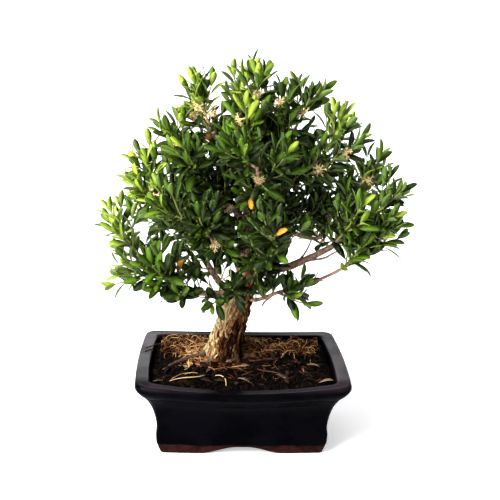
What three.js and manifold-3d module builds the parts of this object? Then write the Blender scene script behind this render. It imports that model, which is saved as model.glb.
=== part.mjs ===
// A boxwood bonsai: a gnarled trunk that leans to the right and spreads into a wide, loose crown of
// leafy shoots, standing in a glazed rectangular pot filled with soil, roots and fallen leaves.
// Millimetres, +Z up, +X to the right of the front view, +Y to the back. Every point below is measured
// from the middle of the pot's foot. At the end the whole group is moved so that the origin lies on the
// table under the middle of the object's bounding box.
import * as THREE from "three";
import { mergeVertices } from "three/addons/utils/BufferGeometryUtils.js";
import Module from "manifold-3d";

const wasm = await Module();
wasm.setup();

// Driving dimensions
const GAP = 0.35; // between pieces that touch
const POT_HALF_LENGTH = 100;
const POT_HALF_DEPTH = 75;
const POT_HEIGHT = 78; // at the corners of the rim
const RIM_DIP = 4; // how much lower the rim is at the middle of its long sides
const LONG_SIDE_BOW = 8; // how far the long sides bulge outwards at the rim
const SHORT_SIDE_BOW = 3;
const CORNER_RADIUS = 9;
const FLOOR_TOP = 14.5;
const FOOT_RECESS = 8; // the underside of the floor above the table
const FOOT_WIDTH = 13;
const ARCH_HEIGHT = 7; // of the cut-outs between the feet
const DRAIN_HOLE_X = 36;
const DRAIN_HOLE_RADIUS = 6;
const NET_SIZE = 24;
const NET_THICKNESS = 1.2;
const SOIL_LEVEL = 69;
const SOIL_MOUND = 4; // how much higher the soil is round the trunk
const LEAF_LENGTH = 21;
const LEAF_WIDTH = 8;
const LEAF_WIDEST = 0.68; // where along its length a leaf is widest
const LEAF_THICKNESS = 0.7;
const LEAF_REACH = 17; // how far the end leaves of a shoot reach past its stem
const LEAF_ROOM = 2; // half the room kept between the leaves of two shoots
const TWIG_RADIUS = 1.25; // where a green shoot grows out of its woody twig
const STEM_TIP_RADIUS = 0.9;
const CAPSULE_RADIUS = 3.6;
const SHOOT_LENGTH = 50; // the leafy part of a shoot's stem
const SHOOT_SAG = 0.13; // how far a shoot sags before it turns up, as a share of its length

// The wall of the pot, as height and how far it stands in from the rim's outer edge.
const POT_OUTSIDE = [
  [0, 21.8],
  [10, 18.9],
  [18, 18],
  [30, 18.7],
  [40, 17.2],
  [51, 13.9],
  [61, 8.5],
  [68, 2.6],
  [72.5, 0.2],
  [78, 0.8],
];
const POT_INSIDE = [
  [78, 11.6],
  [76, 12.8],
  [62, 15.5],
  [45, 22],
  [FLOOR_TOP, 26],
];

// The trunk's heart line, as x, y, z and radius.
const TRUNK = [
  [-19, 15, 42, 10],
  [-19, 15, 58, 17],
  [-18, 15, 70, 20.5],
  [-17, 15, 78, 18],
  [-14.5, 14, 90, 15.2],
  [-11, 13, 106, 12.8],
  [-6, 12, 122, 12],
  [0, 12, 142, 10.8],
  [3, 12, 164, 8.2],
  [3, 12, 188, 6.4],
  [3, 13, 214, 5.2],
  [6, 14, 246, 4.1],
  [8, 13, 282, 2.8],
  [8, 9, 312, 1.9],
];

// The roots that creep over the soil: heading from the trunk, reach, radius and how far the heading swings.
const SURFACE_ROOTS = [
  [3.3, 66, 4.2, 0.3],
  [4.0, 46, 3.6, -0.4],
  [5.0, 44, 3.6, 0.3],
  [6.1, 62, 3.8, 0.2],
  [0.9, 40, 3.2, -0.5],
  [2.4, 44, 3.4, 0.4],
];

// The main branches: the points each follows from inside what it grows from, and its radius at both ends.
const BRANCHES = {
  right_main: {
    line: [[3, 12, 156], [16, 10, 161], [43, 2, 171], [76, -8, 190], [97, -14, 207], [114, -18, 226]],
    radii: [4.6, 1.8],
  },
  right_low: {
    line: [[0, 12, 140], [12, 4, 136], [34, -8, 148], [63, -16, 160], [88, -22, 174], [112, -26, 190]],
    radii: [2.2, 1.2],
  },
  right_cross: {
    line: [[3, 13, 216], [24, 20, 211], [47, 18, 202], [72, 14, 197], [92, 22, 210]],
    radii: [3, 1.6],
  },
  right_high: {
    line: [[4, 13, 222], [24, 12, 238], [48, 10, 256], [70, 8, 276]],
    radii: [3.6, 1.7],
  },
  left_low: {
    line: [[-6, 12, 134], [-18, 6, 142], [-46, -6, 146], [-66, -12, 156], [-86, -16, 170], [-96, -17, 183]],
    radii: [3.4, 1.3],
  },
  left_mid: {
    line: [[-8, 12, 136], [-22, 12, 150], [-34, 13, 168], [-52, 16, 196], [-70, 18, 222], [-84, 16, 244]],
    radii: [3.8, 1.6],
  },
  left_high: {
    line: [[3, 12, 206], [-12, 10, 228], [-32, 8, 250], [-54, 8, 274]],
    radii: [3.4, 1.6],
  },
  front_left: {
    line: [[3, 12, 180], [-12, -12, 192], [-30, -34, 206], [-46, -48, 226]],
    radii: [3.6, 1.7],
  },
  front_low: {
    line: [[3, 12, 172], [12, -16, 180], [20, -44, 192], [26, -66, 208]],
    radii: [3.2, 1.6],
  },
  front_high: {
    line: [[5, 14, 228], [8, -8, 244], [10, -30, 260], [8, -46, 276]],
    radii: [3, 1.6],
  },
  back_right: {
    line: [[3, 12, 168], [24, 42, 182], [46, 66, 200], [60, 80, 222]],
    radii: [3.8, 1.7],
  },
  back_left: {
    line: [[2, 12, 174], [-22, 40, 188], [-46, 64, 206], [-62, 74, 228]],
    radii: [3.8, 1.7],
  },
  back_high: {
    line: [[4, 14, 222], [4, 38, 240], [2, 60, 258], [-2, 70, 276]],
    radii: [3.2, 1.6],
  },
  top_left: {
    line: [[6, 14, 246], [-10, 12, 270], [-26, 10, 292], [-36, 8, 308]],
    radii: [2.8, 1.5],
  },
  top_right: {
    line: [[7, 14, 250], [20, 12, 272], [34, 10, 290], [44, 8, 302]],
    radii: [2.8, 1.5],
  },
};

// The leafy shoots: the branch each grows from, which of its points, and how far its leaves reach.
const SHOOTS = {
  shoot_top_centre: ["trunk", 13, [6, 0, 376]],
  shoot_top_left: ["top_left", 3, [-50, 0, 362]],
  shoot_top_far_left: ["top_left", 2, [-62, 16, 333]],
  shoot_top_centre_right: ["top_right", 2, [30, 0, 358]],
  shoot_top_right: ["top_right", 3, [66, 6, 350]],
  shoot_top_front: ["trunk", 12, [-6, -42, 338]],
  shoot_top_back: ["trunk", 12, [-16, 42, 364]],
  shoot_top_back_right: ["top_right", 1, [46, 50, 336]],
  shoot_upper_right: ["right_high", 3, [98, 0, 331]],
  shoot_upper_right_edge: ["right_high", 2, [118, -10, 306]],
  shoot_right_shoulder: ["right_cross", 4, [136, 4, 294]],
  shoot_upper_left: ["left_high", 3, [-78, -4, 308]],
  shoot_left_shoulder: ["left_mid", 5, [-100, 8, 281]],
  shoot_upper_front_left: ["left_high", 2, [-62, -52, 300]],
  shoot_upper_front: ["front_high", 3, [-22, -76, 304]],
  shoot_upper_front_right: ["front_high", 2, [40, -72, 300]],
  shoot_upper_back_right: ["right_high", 1, [80, 60, 302]],
  shoot_upper_back: ["back_high", 3, [28, 94, 304]],
  shoot_upper_back_left: ["back_high", 2, [-36, 98, 294]],
  shoot_left_back_upper: ["left_high", 2, [-80, 60, 290]],
  shoot_right_end: ["right_main", 5, [154, -12, 258]],
  shoot_right_end_front: ["right_main", 4, [142, -56, 240]],
  shoot_right_end_low: ["right_low", 5, [145, -34, 222]],
  shoot_right_low_middle: ["right_low", 4, [116, -50, 215]],
  shoot_right_low_near: ["right_low", 2, [58, -38, 150]],
  shoot_left_end: ["left_mid", 4, [-112, -8, 266]],
  shoot_left_end_low: ["left_low", 5, [-134, -14, 240]],
  shoot_left_low: ["left_low", 4, [-123, -26, 171]],
  shoot_left_low_near: ["left_low", 2, [-74, -34, 160]],
  shoot_left_front: ["front_left", 3, [-94, -66, 252]],
  shoot_left_front_low: ["left_low", 3, [-90, -66, 196]],
  shoot_front_left: ["front_left", 2, [-46, -94, 246]],
  shoot_front: ["front_low", 3, [8, -106, 250]],
  shoot_front_right: ["right_main", 1, [24, -52, 208]],
  shoot_front_right_upper: ["right_main", 3, [104, -76, 256]],
  shoot_right_back: ["right_cross", 3, [128, 52, 258]],
  shoot_back_right: ["back_right", 3, [92, 96, 256]],
  shoot_back: ["back_right", 2, [34, 120, 250]],
  shoot_back_left: ["back_left", 3, [-42, 118, 258]],
  shoot_left_back: ["back_left", 2, [-92, 94, 236]],
  shoot_left_back_edge: ["left_mid", 3, [-118, 50, 236]],
  shoot_back_right_low: ["back_right", 1, [52, 96, 192]],
  shoot_back_left_low: ["back_left", 1, [-60, 88, 190]],
  shoot_trunk_left: ["left_low", 1, [-40, -28, 146]],
  shoot_trunk_front: ["trunk", 7, [-24, -58, 178]],
  shoot_inner_right: ["right_cross", 1, [38, -24, 246]],
  shoot_inner_left: ["left_high", 1, [-44, -22, 266]],
  shoot_inner_back_left: ["back_left", 1, [-22, 64, 240]],
  shoot_inner_far_right: ["right_cross", 2, [86, 8, 246]],
  shoot_inner_back: ["back_high", 1, [16, 66, 292]],
};

// Dry flower clusters and one seed capsule: the shoot each sits on, how far up its leafy part, and the
// side it faces.
const FLOWERS = {
  flowers_top_left: ["shoot_top_far_left", 0.84, [-0.2, -1, 0.1]],
  flowers_top: ["shoot_top_centre", 0.52, [0.3, -1, 0.1]],
  flowers_right: ["shoot_right_shoulder", 0.58, [-0.3, -1, 0]],
  seed_capsule: ["shoot_top_far_left", 0.1, [-0.3, -1, -0.7]],
  flowers_front_left: ["shoot_front_left", 0.15, [0.5, -1, -0.6]],
};

// Small helpers

// A repeatable stream of numbers from 0 to 1 for each seed.
function seededRandom(seed) {
  let state = seed >>> 0;
  return () => {
    state = (state + 0x6d2b79f5) >>> 0;
    let t = state;
    t = Math.imul(t ^ (t >>> 15), t | 1);
    t ^= t + Math.imul(t ^ (t >>> 7), t | 61);
    return ((t ^ (t >>> 14)) >>> 0) / 4294967296;
  };
}

const vector = (a) => new THREE.Vector3(a[0], a[1], a[2]);
const along = (start, direction, length) => start.clone().addScaledVector(direction, length);

// The part of a vector that is square to a direction, as a unit vector.
const squareTo = (direction, v) => along(v, direction, -v.dot(direction)).normalize();

// Two directions square to a stem and to each other, the first one level.
function sidesOf(direction) {
  const level = new THREE.Vector3().crossVectors(direction, new THREE.Vector3(0, 0, 1));
  const first = squareTo(direction, level.length() < 0.05 ? new THREE.Vector3(1, 0, 0) : level);
  return [first, new THREE.Vector3().crossVectors(direction, first)];
}

// A closed solid from a list of points and triangles.
function solidOf(points, triangles) {
  const made = new wasm.Manifold(
    new wasm.Mesh({
      numProp: 3,
      vertProperties: new Float32Array(points.flatMap((p) => [p.x, p.y, p.z])),
      triVerts: new Uint32Array(triangles.flat()),
    }),
  );
  if (made.volume() > 0) return made;
  return solidOf(
    points,
    triangles.map(([a, b, c]) => [a, c, b]),
  );
}

// A three.js geometry as a solid.
function solidOfGeometry(geometry) {
  const bare = geometry.clone();
  bare.deleteAttribute("normal");
  bare.deleteAttribute("uv");
  const merged = mergeVertices(bare);
  return new wasm.Manifold(
    new wasm.Mesh({
      numProp: 3,
      vertProperties: merged.attributes.position.array,
      triVerts: new Uint32Array(merged.index.array),
    }),
  );
}

// A solid as a three.js geometry, flat shaded.
function geometryOf(solid) {
  const mesh = solid.getMesh();
  const geometry = new THREE.BufferGeometry();
  geometry.setAttribute("position", new THREE.BufferAttribute(mesh.vertProperties, 3));
  geometry.setIndex(new THREE.BufferAttribute(mesh.triVerts, 1));
  geometry.computeVertexNormals();
  return geometry;
}

// A thin solid between two outlines that match, given the triangles that fill the first one.
function slab(upper, lower, fill) {
  const count = upper.length;
  const under = fill.map(([a, b, c]) => [a + count, c + count, b + count]);
  const rim = upper.flatMap((_, a) => {
    const b = (a + 1) % count;
    return [
      [b, a, a + count],
      [b, a + count, b + count],
    ];
  });
  return solidOf([...upper, ...lower], [...fill, ...under, ...rim]);
}

const joinAll = (solids) => solids.reduce((whole, next) => whole.add(next));

// A solid skinned over rings that have the same number of points, closed at both ends.
function loft(rings) {
  const sides = rings[0].length;
  const triangles = [];
  for (let r = 0; r + 1 < rings.length; r += 1) {
    for (let k = 0; k < sides; k += 1) {
      const a = r * sides + k;
      const b = r * sides + ((k + 1) % sides);
      triangles.push([a, b, b + sides], [a, b + sides, a + sides]);
    }
  }
  const last = (rings.length - 1) * sides;
  for (let k = 1; k + 1 < sides; k += 1) {
    triangles.push([0, k + 1, k], [last, last + k, last + k + 1]);
  }
  return solidOf(rings.flat(), triangles);
}

// A tapering stick along a line of points, with its first edge towards a reference if one is given.
function stick(points, radii, sides, reference) {
  const rings = [];
  let normal = reference;
  points.forEach((p, i) => {
    const before = points[Math.max(i - 1, 0)];
    const after = points[Math.min(i + 1, points.length - 1)];
    const direction = new THREE.Vector3().subVectors(after, before).normalize();
    normal = squareTo(direction, normal ?? sidesOf(direction)[0]);
    const other = new THREE.Vector3().crossVectors(direction, normal);
    rings.push(
      Array.from({ length: sides }, (_, k) => {
        const turn = (2 * Math.PI * k) / sides;
        return along(along(p, normal, radii[i] * Math.cos(turn)), other, radii[i] * Math.sin(turn));
      }),
    );
  });
  return loft(rings);
}

const spread = (count, start, end) =>
  Array.from({ length: count }, (_, i) => start + ((end - start) * i) / (count - 1));

// The pot

// One level outline of the pot: a rectangle with round corners whose sides bow outwards.
function potOutline(height, inset, bow) {
  const halfLength = POT_HALF_LENGTH - inset;
  const halfDepth = POT_HALF_DEPTH - inset;
  const radius = Math.max(CORNER_RADIUS - inset * 0.25, 3);
  const corners = [
    [1, -1, -90],
    [1, 1, 0],
    [-1, 1, 90],
    [-1, -1, 180],
  ];
  const plan = [];
  corners.forEach(([sx, sy, start], c) => {
    const centreX = sx * (halfLength - radius);
    const centreY = sy * (halfDepth - radius);
    for (const step of [0, 30, 60, 90]) {
      const turn = THREE.MathUtils.degToRad(start + step);
      plan.push([centreX + radius * Math.cos(turn), centreY + radius * Math.sin(turn)]);
    }
    const shares = c % 2 === 0 ? [0.3, 0.7] : [0.22, 0.5, 0.78];
    for (const share of shares) {
      const reach = 1 - 2 * share;
      if (c % 2 === 0) plan.push([sx * halfLength, sx * -reach * (halfDepth - radius)]);
      else plan.push([sx * reach * (halfLength - radius), sy * halfDepth]);
    }
  });
  const dip = RIM_DIP * THREE.MathUtils.smoothstep(height, 45, 72);
  return plan.map(([x, y]) => {
    const acrossX = 1 - (x / halfLength) ** 2;
    const acrossY = 1 - (y / halfDepth) ** 2;
    const bowedX = x + Math.sign(x) * SHORT_SIDE_BOW * bow * acrossY * (Math.abs(x) / halfLength) ** 4;
    const bowedY = y + Math.sign(y) * LONG_SIDE_BOW * bow * acrossX * (Math.abs(y) / halfDepth) ** 4;
    return new THREE.Vector3(bowedX, bowedY, height - dip * acrossX);
  });
}

const bowAt = (height) => 0.25 + 0.75 * THREE.MathUtils.smoothstep(height, 10, POT_HEIGHT);

// A box with its lowest corner and size given.
function box(low, size) {
  const geometry = new THREE.BoxGeometry(size[0], size[1], size[2]);
  geometry.translate(low[0] + size[0] / 2, low[1] + size[1] / 2, low[2] + size[2] / 2);
  return solidOfGeometry(geometry);
}

// The cut-out between two feet, as a bar along Y with an arched top.
function footArch(halfWidth, length) {
  const arch = new THREE.Shape();
  arch.moveTo(-halfWidth, -1);
  arch.lineTo(halfWidth, -1);
  arch.lineTo(halfWidth * 0.7, ARCH_HEIGHT * 0.4);
  arch.lineTo(halfWidth * 0.2, ARCH_HEIGHT);
  arch.lineTo(-halfWidth * 0.2, ARCH_HEIGHT);
  arch.lineTo(-halfWidth * 0.7, ARCH_HEIGHT * 0.4);
  const geometry = new THREE.ExtrudeGeometry(arch, { depth: length, bevelEnabled: false, steps: 1 });
  geometry.translate(0, 0, -length / 2);
  geometry.rotateX(Math.PI / 2);
  return geometry;
}

function makePot() {
  const rings = [...POT_OUTSIDE, ...POT_INSIDE].map(([z, inset]) => potOutline(z, inset, bowAt(z)));
  const body = loft(rings);
  const inset = POT_OUTSIDE[0][1] + FOOT_WIDTH;
  const recess = loft([potOutline(-1, inset, 0.25), potOutline(FOOT_RECESS, inset + 2, 0.25)]);
  const sideArch = footArch(24, 2 * POT_HALF_LENGTH);
  sideArch.rotateZ(Math.PI / 2);
  let pot = body.subtract(recess);
  pot = pot.subtract(solidOfGeometry(footArch(40, 2 * POT_HALF_DEPTH)));
  pot = pot.subtract(solidOfGeometry(sideArch));
  for (const side of [-1, 1]) {
    const hole = new THREE.CylinderGeometry(DRAIN_HOLE_RADIUS, DRAIN_HOLE_RADIUS, 30, 10);
    hole.rotateX(Math.PI / 2);
    hole.translate(side * DRAIN_HOLE_X, 0, FLOOR_TOP);
    pot = pot.subtract(solidOfGeometry(hole));
  }
  return pot;
}

// A small square plastic net that keeps the soil in over a drain hole.
function makeNet(side) {
  const low = [side * DRAIN_HOLE_X - NET_SIZE / 2, -NET_SIZE / 2, FLOOR_TOP + GAP];
  let net = box(low, [NET_SIZE, NET_SIZE, NET_THICKNESS]);
  const hole = NET_SIZE / 2 - 4;
  for (const i of [0, 1]) {
    for (const j of [0, 1]) {
      const corner = [low[0] + 2.7 + i * (hole + 2.6), low[1] + 2.7 + j * (hole + 2.6), low[2] - 1];
      net = net.subtract(box(corner, [hole, hole, NET_THICKNESS + 2]));
    }
  }
  return net;
}

// The soil

// Height of the soil's uneven surface.
function soilHeight(x, y) {
  const fromTrunk = Math.hypot(x - TRUNK[2][0], y - TRUNK[2][1]);
  const mound = SOIL_MOUND * Math.exp(-((fromTrunk / 42) ** 2));
  const bumps = 0.7 * Math.sin(x * 0.1 + 1.3) * Math.cos(y * 0.12) + 0.5 * Math.sin(x * 0.07 - y * 0.11);
  return SOIL_LEVEL + mound + bumps;
}

// The soil's block between the pot's walls, cut off by its uneven surface.
function soilBlock() {
  const walls = [...POT_INSIDE.slice(1, -1), [FLOOR_TOP + GAP, POT_INSIDE.at(-1)[1]]];
  const block = loft(walls.map(([z, inset]) => potOutline(z, inset + GAP, bowAt(z) * 0.97)));
  const columns = 10;
  const rows = 7;
  const points = [];
  for (const level of ["surface", "bottom"]) {
    for (const y of spread(rows, -POT_HALF_DEPTH - 10, POT_HALF_DEPTH + 10)) {
      for (const x of spread(columns, -POT_HALF_LENGTH - 5, POT_HALF_LENGTH + 5)) {
        points.push(new THREE.Vector3(x, y, level === "surface" ? soilHeight(x, y) : 0));
      }
    }
  }
  const triangles = [];
  const under = columns * rows;
  for (let j = 0; j + 1 < rows; j += 1) {
    for (let i = 0; i + 1 < columns; i += 1) {
      const a = j * columns + i;
      const [b, c, d] = [a + 1, a + columns + 1, a + columns];
      triangles.push([a, b, c], [a, c, d]);
      triangles.push([under + a, under + c, under + b], [under + a, under + d, under + c]);
    }
  }
  const edge = [];
  for (let i = 0; i < columns - 1; i += 1) edge.push(i);
  for (let j = 0; j < rows - 1; j += 1) edge.push(j * columns + columns - 1);
  for (let i = columns - 1; i > 0; i -= 1) edge.push((rows - 1) * columns + i);
  for (let j = rows - 1; j > 0; j -= 1) edge.push(j * columns);
  edge.forEach((a, k) => {
    const b = edge[(k + 1) % edge.length];
    triangles.push([a, under + a, under + b], [a, under + b, b]);
  });
  return block.intersect(solidOf(points, triangles));
}

// A fallen leaf: one end sunk in the soil, the other lifted off it.
function fallenLeaf(x, y, turn, length) {
  const direction = new THREE.Vector3(Math.cos(turn), Math.sin(turn), 0.22).normalize();
  const side = sidesOf(direction)[0];
  const normal = new THREE.Vector3().crossVectors(side, direction);
  const root = new THREE.Vector3(x, y, soilHeight(x, y) - 1.4);
  return blade({ root, direction, normal, length, width: length * 0.36 });
}

// A dead root that arches out of the soil and back into it.
function deadRoot(x, y, turn, length, rise) {
  const points = spread(5, 0, 1).map((t) => {
    const bend = Math.sin(t * Math.PI) * length * 0.12;
    const px = x + Math.cos(turn) * length * t - Math.sin(turn) * bend;
    const py = y + Math.sin(turn) * length * t + Math.cos(turn) * bend;
    return new THREE.Vector3(px, py, soilHeight(px, py) - 1.5 + (rise + 1.5) * Math.sin(t * Math.PI));
  });
  return stick(points, [0.8, 1, 1.1, 1, 0.8], 3);
}

function makeSoil() {
  let soil = soilBlock().subtract(trunkSolid(GAP));
  for (const side of [-1, 1]) {
    const size = NET_SIZE + 2 * GAP;
    const low = [side * DRAIN_HOLE_X - size / 2, -size / 2, FLOOR_TOP - 1];
    soil = soil.subtract(box(low, [size, size, 1 + 2 * GAP + NET_THICKNESS]));
  }
  const random = seededRandom(11);
  const litter = [];
  while (litter.length < 9) {
    const x = (random() - 0.5) * 132;
    const y = (random() - 0.5) * 84;
    const turn = random() * 2 * Math.PI;
    const length = 10 + random() * 6;
    if (Math.hypot(x - TRUNK[2][0], y - TRUNK[2][1]) > 38) litter.push(fallenLeaf(x, y, turn, length));
  }
  const roots = [
    deadRoot(-72, -46, 0.2, 48, 4),
    deadRoot(-16, -52, 1.9, 26, 4),
    deadRoot(14, -14, 5.3, 44, 3),
    deadRoot(68, -38, 1.5, 36, 2),
    deadRoot(-74, 36, 0.1, 44, 3),
  ];
  return joinAll([soil, ...litter, ...roots]);
}

// The wood

// The trunk, ribbed where roots and branches run into it, made larger all round by grow.
function trunkSolid(grow) {
  const sides = 12;
  return loft(
    TRUNK.map(([x, y, z, radius], i) =>
      Array.from({ length: sides }, (_, k) => {
        const turn = (2 * Math.PI * k) / sides;
        const flare = 0.18 - 0.12 * THREE.MathUtils.smoothstep(z, 70, 100);
        const rib = 1 + 0.09 * Math.cos(3 * turn + z * 0.03) + flare * Math.cos(5 * turn - z * 0.02);
        const reach = radius * rib + grow;
        const height = i === 0 ? z - grow : z;
        return new THREE.Vector3(x + reach * Math.cos(turn), y + reach * Math.sin(turn), height);
      }),
    ),
  );
}

// A root that creeps out of the trunk's foot over the soil.
function surfaceRoot(turn, reach, radius, swing) {
  const [x, y] = TRUNK[2];
  const steps = spread(4, 0, 1);
  const radii = steps.map((t) => radius * (1 - 0.72 * t));
  const points = steps.map((t, i) => {
    const heading = turn + swing * t * t;
    const out = 8 + (reach - 8) * t;
    const px = x + Math.cos(heading) * out;
    const py = y + Math.sin(heading) * out;
    return new THREE.Vector3(px, py, soilHeight(px, py) + radii[i] + 0.7 + 9 * (1 - t) ** 4);
  });
  return stick(points, radii, 4);
}

const branchLines = { trunk: TRUNK.map(vector) };
for (const [name, branch] of Object.entries(BRANCHES)) branchLines[name] = branch.line.map(vector);

// A point on the curve that a shoot follows: out from its branch, then turning up to its tip.
function shootPoint(shoot, t) {
  return new THREE.Vector3()
    .addScaledVector(shoot.from, (1 - t) ** 2)
    .addScaledVector(shoot.bend, 2 * t * (1 - t))
    .addScaledVector(shoot.tip, t * t);
}

// Every shoot's curve, and the share of it at which the woody twig ends and the leafy stem begins.
const shoots = Object.entries(SHOOTS).map(([name, [branch, index, furthest]], order) => {
  const from = branchLines[branch][index];
  const reach = from.distanceTo(vector(furthest));
  const tip = from.clone().lerp(vector(furthest), 1 - LEAF_REACH / reach);
  const length = reach - LEAF_REACH;
  const bend = from.clone().lerp(tip, 0.52);
  bend.z -= SHOOT_SAG * length;
  const greenFrom = Math.max(1 - SHOOT_LENGTH / length, 8 / length);
  return { name, order, from, tip, bend, length, greenFrom };
});

// The woody twigs, straight where they are short.
const twigs = shoots.map((shoot) => {
  const count = shoot.greenFrom > 0.4 ? 3 : 2;
  return {
    line: spread(count, 0, shoot.greenFrom).map((t) => shootPoint(shoot, t)),
    radii: spread(count, TWIG_RADIUS * 1.4, TWIG_RADIUS),
  };
});

function makeWood() {
  const pieces = [trunkSolid(0), ...SURFACE_ROOTS.map((root) => surfaceRoot(...root))];
  for (const [name, branch] of Object.entries(BRANCHES)) {
    const line = branchLines[name];
    const sides = branch.radii[0] > 3.7 ? 5 : 4;
    pieces.push(stick(line, spread(line.length, branch.radii[0], branch.radii[1]), sides));
  }
  for (const twig of twigs) pieces.push(stick(twig.line, twig.radii, 3));
  return joinAll(pieces);
}

// Room for the leaves

const taken = []; // balls that are in the way: the middle, the radius and what it belongs to

function takeLine(line, radii, owner) {
  for (let i = 0; i + 1 < line.length; i += 1) {
    const steps = Math.ceil(line[i].distanceTo(line[i + 1]) / 3);
    for (const t of spread(steps + 1, 0, 1)) {
      const at = line[i].clone().lerp(line[i + 1], t);
      taken.push({ at, radius: THREE.MathUtils.lerp(radii[i], radii[i + 1], t), owner });
    }
  }
}

function isClear(balls, owner) {
  const meets = (ball, other) =>
    other.owner !== owner && ball.at.distanceToSquared(other.at) < (ball.radius + other.radius) ** 2;
  return !balls.some((ball) => taken.some((other) => meets(ball, other)));
}

// Leaves

// How wide a leaf is at a share of its length, as a share of its greatest width.
const leafShare = (t) => Math.min(t / LEAF_WIDEST, (1 - t) / (1 - LEAF_WIDEST));

// A leaf: narrow at its root, widest well past its middle and arched a little.
function blade({ root, direction, normal, length, width }) {
  const side = new THREE.Vector3().crossVectors(direction, normal).normalize();
  const point = (t, across, lift) =>
    along(root, direction, length * t)
      .addScaledVector(side, (width / 2) * across * leafShare(t))
      .addScaledVector(normal, lift);
  const face = (lift) => [
    point(0, 0, lift),
    point(LEAF_WIDEST, 1, lift + 0.9),
    point(1, 0, lift),
    point(LEAF_WIDEST, -1, lift + 0.9),
  ];
  return slab(face(LEAF_THICKNESS / 2), face(-LEAF_THICKNESS / 2), [
    [0, 1, 3],
    [1, 2, 3],
  ]);
}

// Balls spread over a leaf, by which crossing is found.
function leafBalls({ root, direction, normal, length, width }, owner) {
  const side = new THREE.Vector3().crossVectors(direction, normal).normalize();
  const balls = [];
  for (const t of spread(6, 0.25, 1)) {
    for (const across of [-1, 0, 1]) {
      const at = along(along(root, direction, length * t), side, (width / 2) * across * leafShare(t));
      balls.push({ at, radius: LEAF_ROOM, owner });
    }
  }
  return balls;
}

// How a leaf that would cross another shoot is turned round its stem and shrunk, in the order tried.
const LEAF_TRIES = [
  [0, 1],
  [0.45, 1],
  [-0.45, 1],
  [0.9, 0.9],
  [-0.9, 0.9],
  [0.2, 0.7],
  [-0.3, 0.6],
];

// A leaf on a stem, leaning out by tilt on the side given by turn, or nothing where there is no room.
function placeLeaf(owner, stem, turn, tilt, length) {
  for (const [extra, size] of LEAF_TRIES) {
    const outward = stem.first
      .clone()
      .multiplyScalar(Math.cos(turn + extra))
      .addScaledVector(stem.second, Math.sin(turn + extra));
    const upwards = stem.heading.clone().multiplyScalar(Math.cos(tilt));
    const inwards = stem.heading.clone().multiplyScalar(Math.sin(tilt));
    const leaf = {
      root: along(stem.at, outward, 0.3),
      direction: upwards.addScaledVector(outward, Math.sin(tilt)),
      normal: inwards.addScaledVector(outward, -Math.cos(tilt)),
      length: length * size,
      width: LEAF_WIDTH * (0.4 + 0.6 * size),
    };
    const balls = leafBalls(leaf, owner);
    if (isClear(balls, owner)) {
      taken.push(...balls);
      return [leaf];
    }
  }
  return [];
}

// One leafy shoot: a stem with three pairs of leaves, each pair square to the last, and on most shoots a
// side shoot that ends in a pair.
function growShoot(shoot) {
  const random = seededRandom(100 + shoot.order);
  const start = shoot.greenFrom + GAP / shoot.length;
  const at = (u) => shootPoint(shoot, start + (1 - start) * u);
  const chord = at(1).sub(at(0)).normalize();
  const [level, steep] = sidesOf(chord);
  const twist = random() * Math.PI;
  const reference = level.multiplyScalar(Math.cos(twist)).addScaledVector(steep, Math.sin(twist));
  const stemAt = (u) => {
    const heading = at(Math.min(u + 0.05, 1)).sub(at(Math.min(u, 0.95) - 0.05)).normalize();
    const first = squareTo(heading, reference);
    return { at: at(u), heading, first, second: new THREE.Vector3().crossVectors(heading, first) };
  };
  const pieces = [stick(spread(3, 0, 1).map(at), spread(3, TWIG_RADIUS, STEM_TIP_RADIUS), 4, reference)];
  const leaves = [];
  const addPair = (stem, turn, tilt, length) => {
    for (const half of [0, Math.PI]) {
      leaves.push(...placeLeaf(shoot.name, stem, turn + half, tilt, length * (0.92 + 0.16 * random())));
    }
  };
  [0.42, 0.72, 0.975].forEach((u, k) => {
    const tilt = [0.95, 0.75, 0.5][k] + 0.15 * (random() - 0.5);
    addPair(stemAt(u), Math.PI / 4 + (k * Math.PI) / 2, tilt, LEAF_LENGTH);
  });
  const stem = stemAt(0.2);
  const turn = Math.PI / 4 + 0.3 * (random() - 0.5) + (random() < 0.5 ? 0 : Math.PI);
  const length = 20 + 8 * random();
  const heading = stem.heading
    .clone()
    .multiplyScalar(0.7)
    .addScaledVector(stem.first, 0.75 * Math.cos(turn))
    .addScaledVector(stem.second, 0.75 * Math.sin(turn));
  heading.z += 0.2;
  heading.normalize();
  const balls = spread(5, 0.3, 1).map((t) => ({ at: along(stem.at, heading, length * t), radius: 2 }));
  if (shoot.order % 3 !== 2 && isClear(balls, shoot.name)) {
    const end = along(stem.at, heading, length);
    takeLine([along(stem.at, heading, 4), end], [1.2, 1.2], shoot.name);
    pieces.push(stick([stem.at, end], [0.95, 0.85], 3));
    const [first, second] = sidesOf(heading);
    addPair({ at: along(end, heading, -0.7), heading, first, second }, turn, 0.5, LEAF_LENGTH * 0.92);
  }
  return joinAll([...pieces, ...leaves.map(blade)]);
}

// Flowers

// A dry flower cluster: narrow florets all round a small core, on a stalk that ends just off its stem.
function flowerCluster(seat, outward) {
  const centre = along(seat, outward, 5.2);
  const pieces = [stick([seat, along(centre, outward, 1.5)], [0.7, 1.6], 4)];
  const florets = 6;
  for (let k = 0; k < florets; k += 1) {
    const rise = 1 - (2 * k + 1) / florets;
    const level = Math.sqrt(1 - rise * rise);
    const direction = new THREE.Vector3(level * Math.cos(k * 2.4), level * Math.sin(k * 2.4), rise);
    if (direction.dot(outward) < -0.45) continue;
    pieces.push(stick([centre, along(centre, direction, 5)], [1, 1.1], 3));
  }
  return joinAll(pieces);
}

// A round seed capsule on a short stalk.
function seedCapsule(seat, outward) {
  const middle = along(seat, outward, CAPSULE_RADIUS + 1.5);
  const ball = new THREE.IcosahedronGeometry(CAPSULE_RADIUS, 0);
  ball.translate(middle.x, middle.y, middle.z);
  return stick([seat, middle], [0.8, 0.8], 3).add(solidOfGeometry(ball));
}

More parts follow.
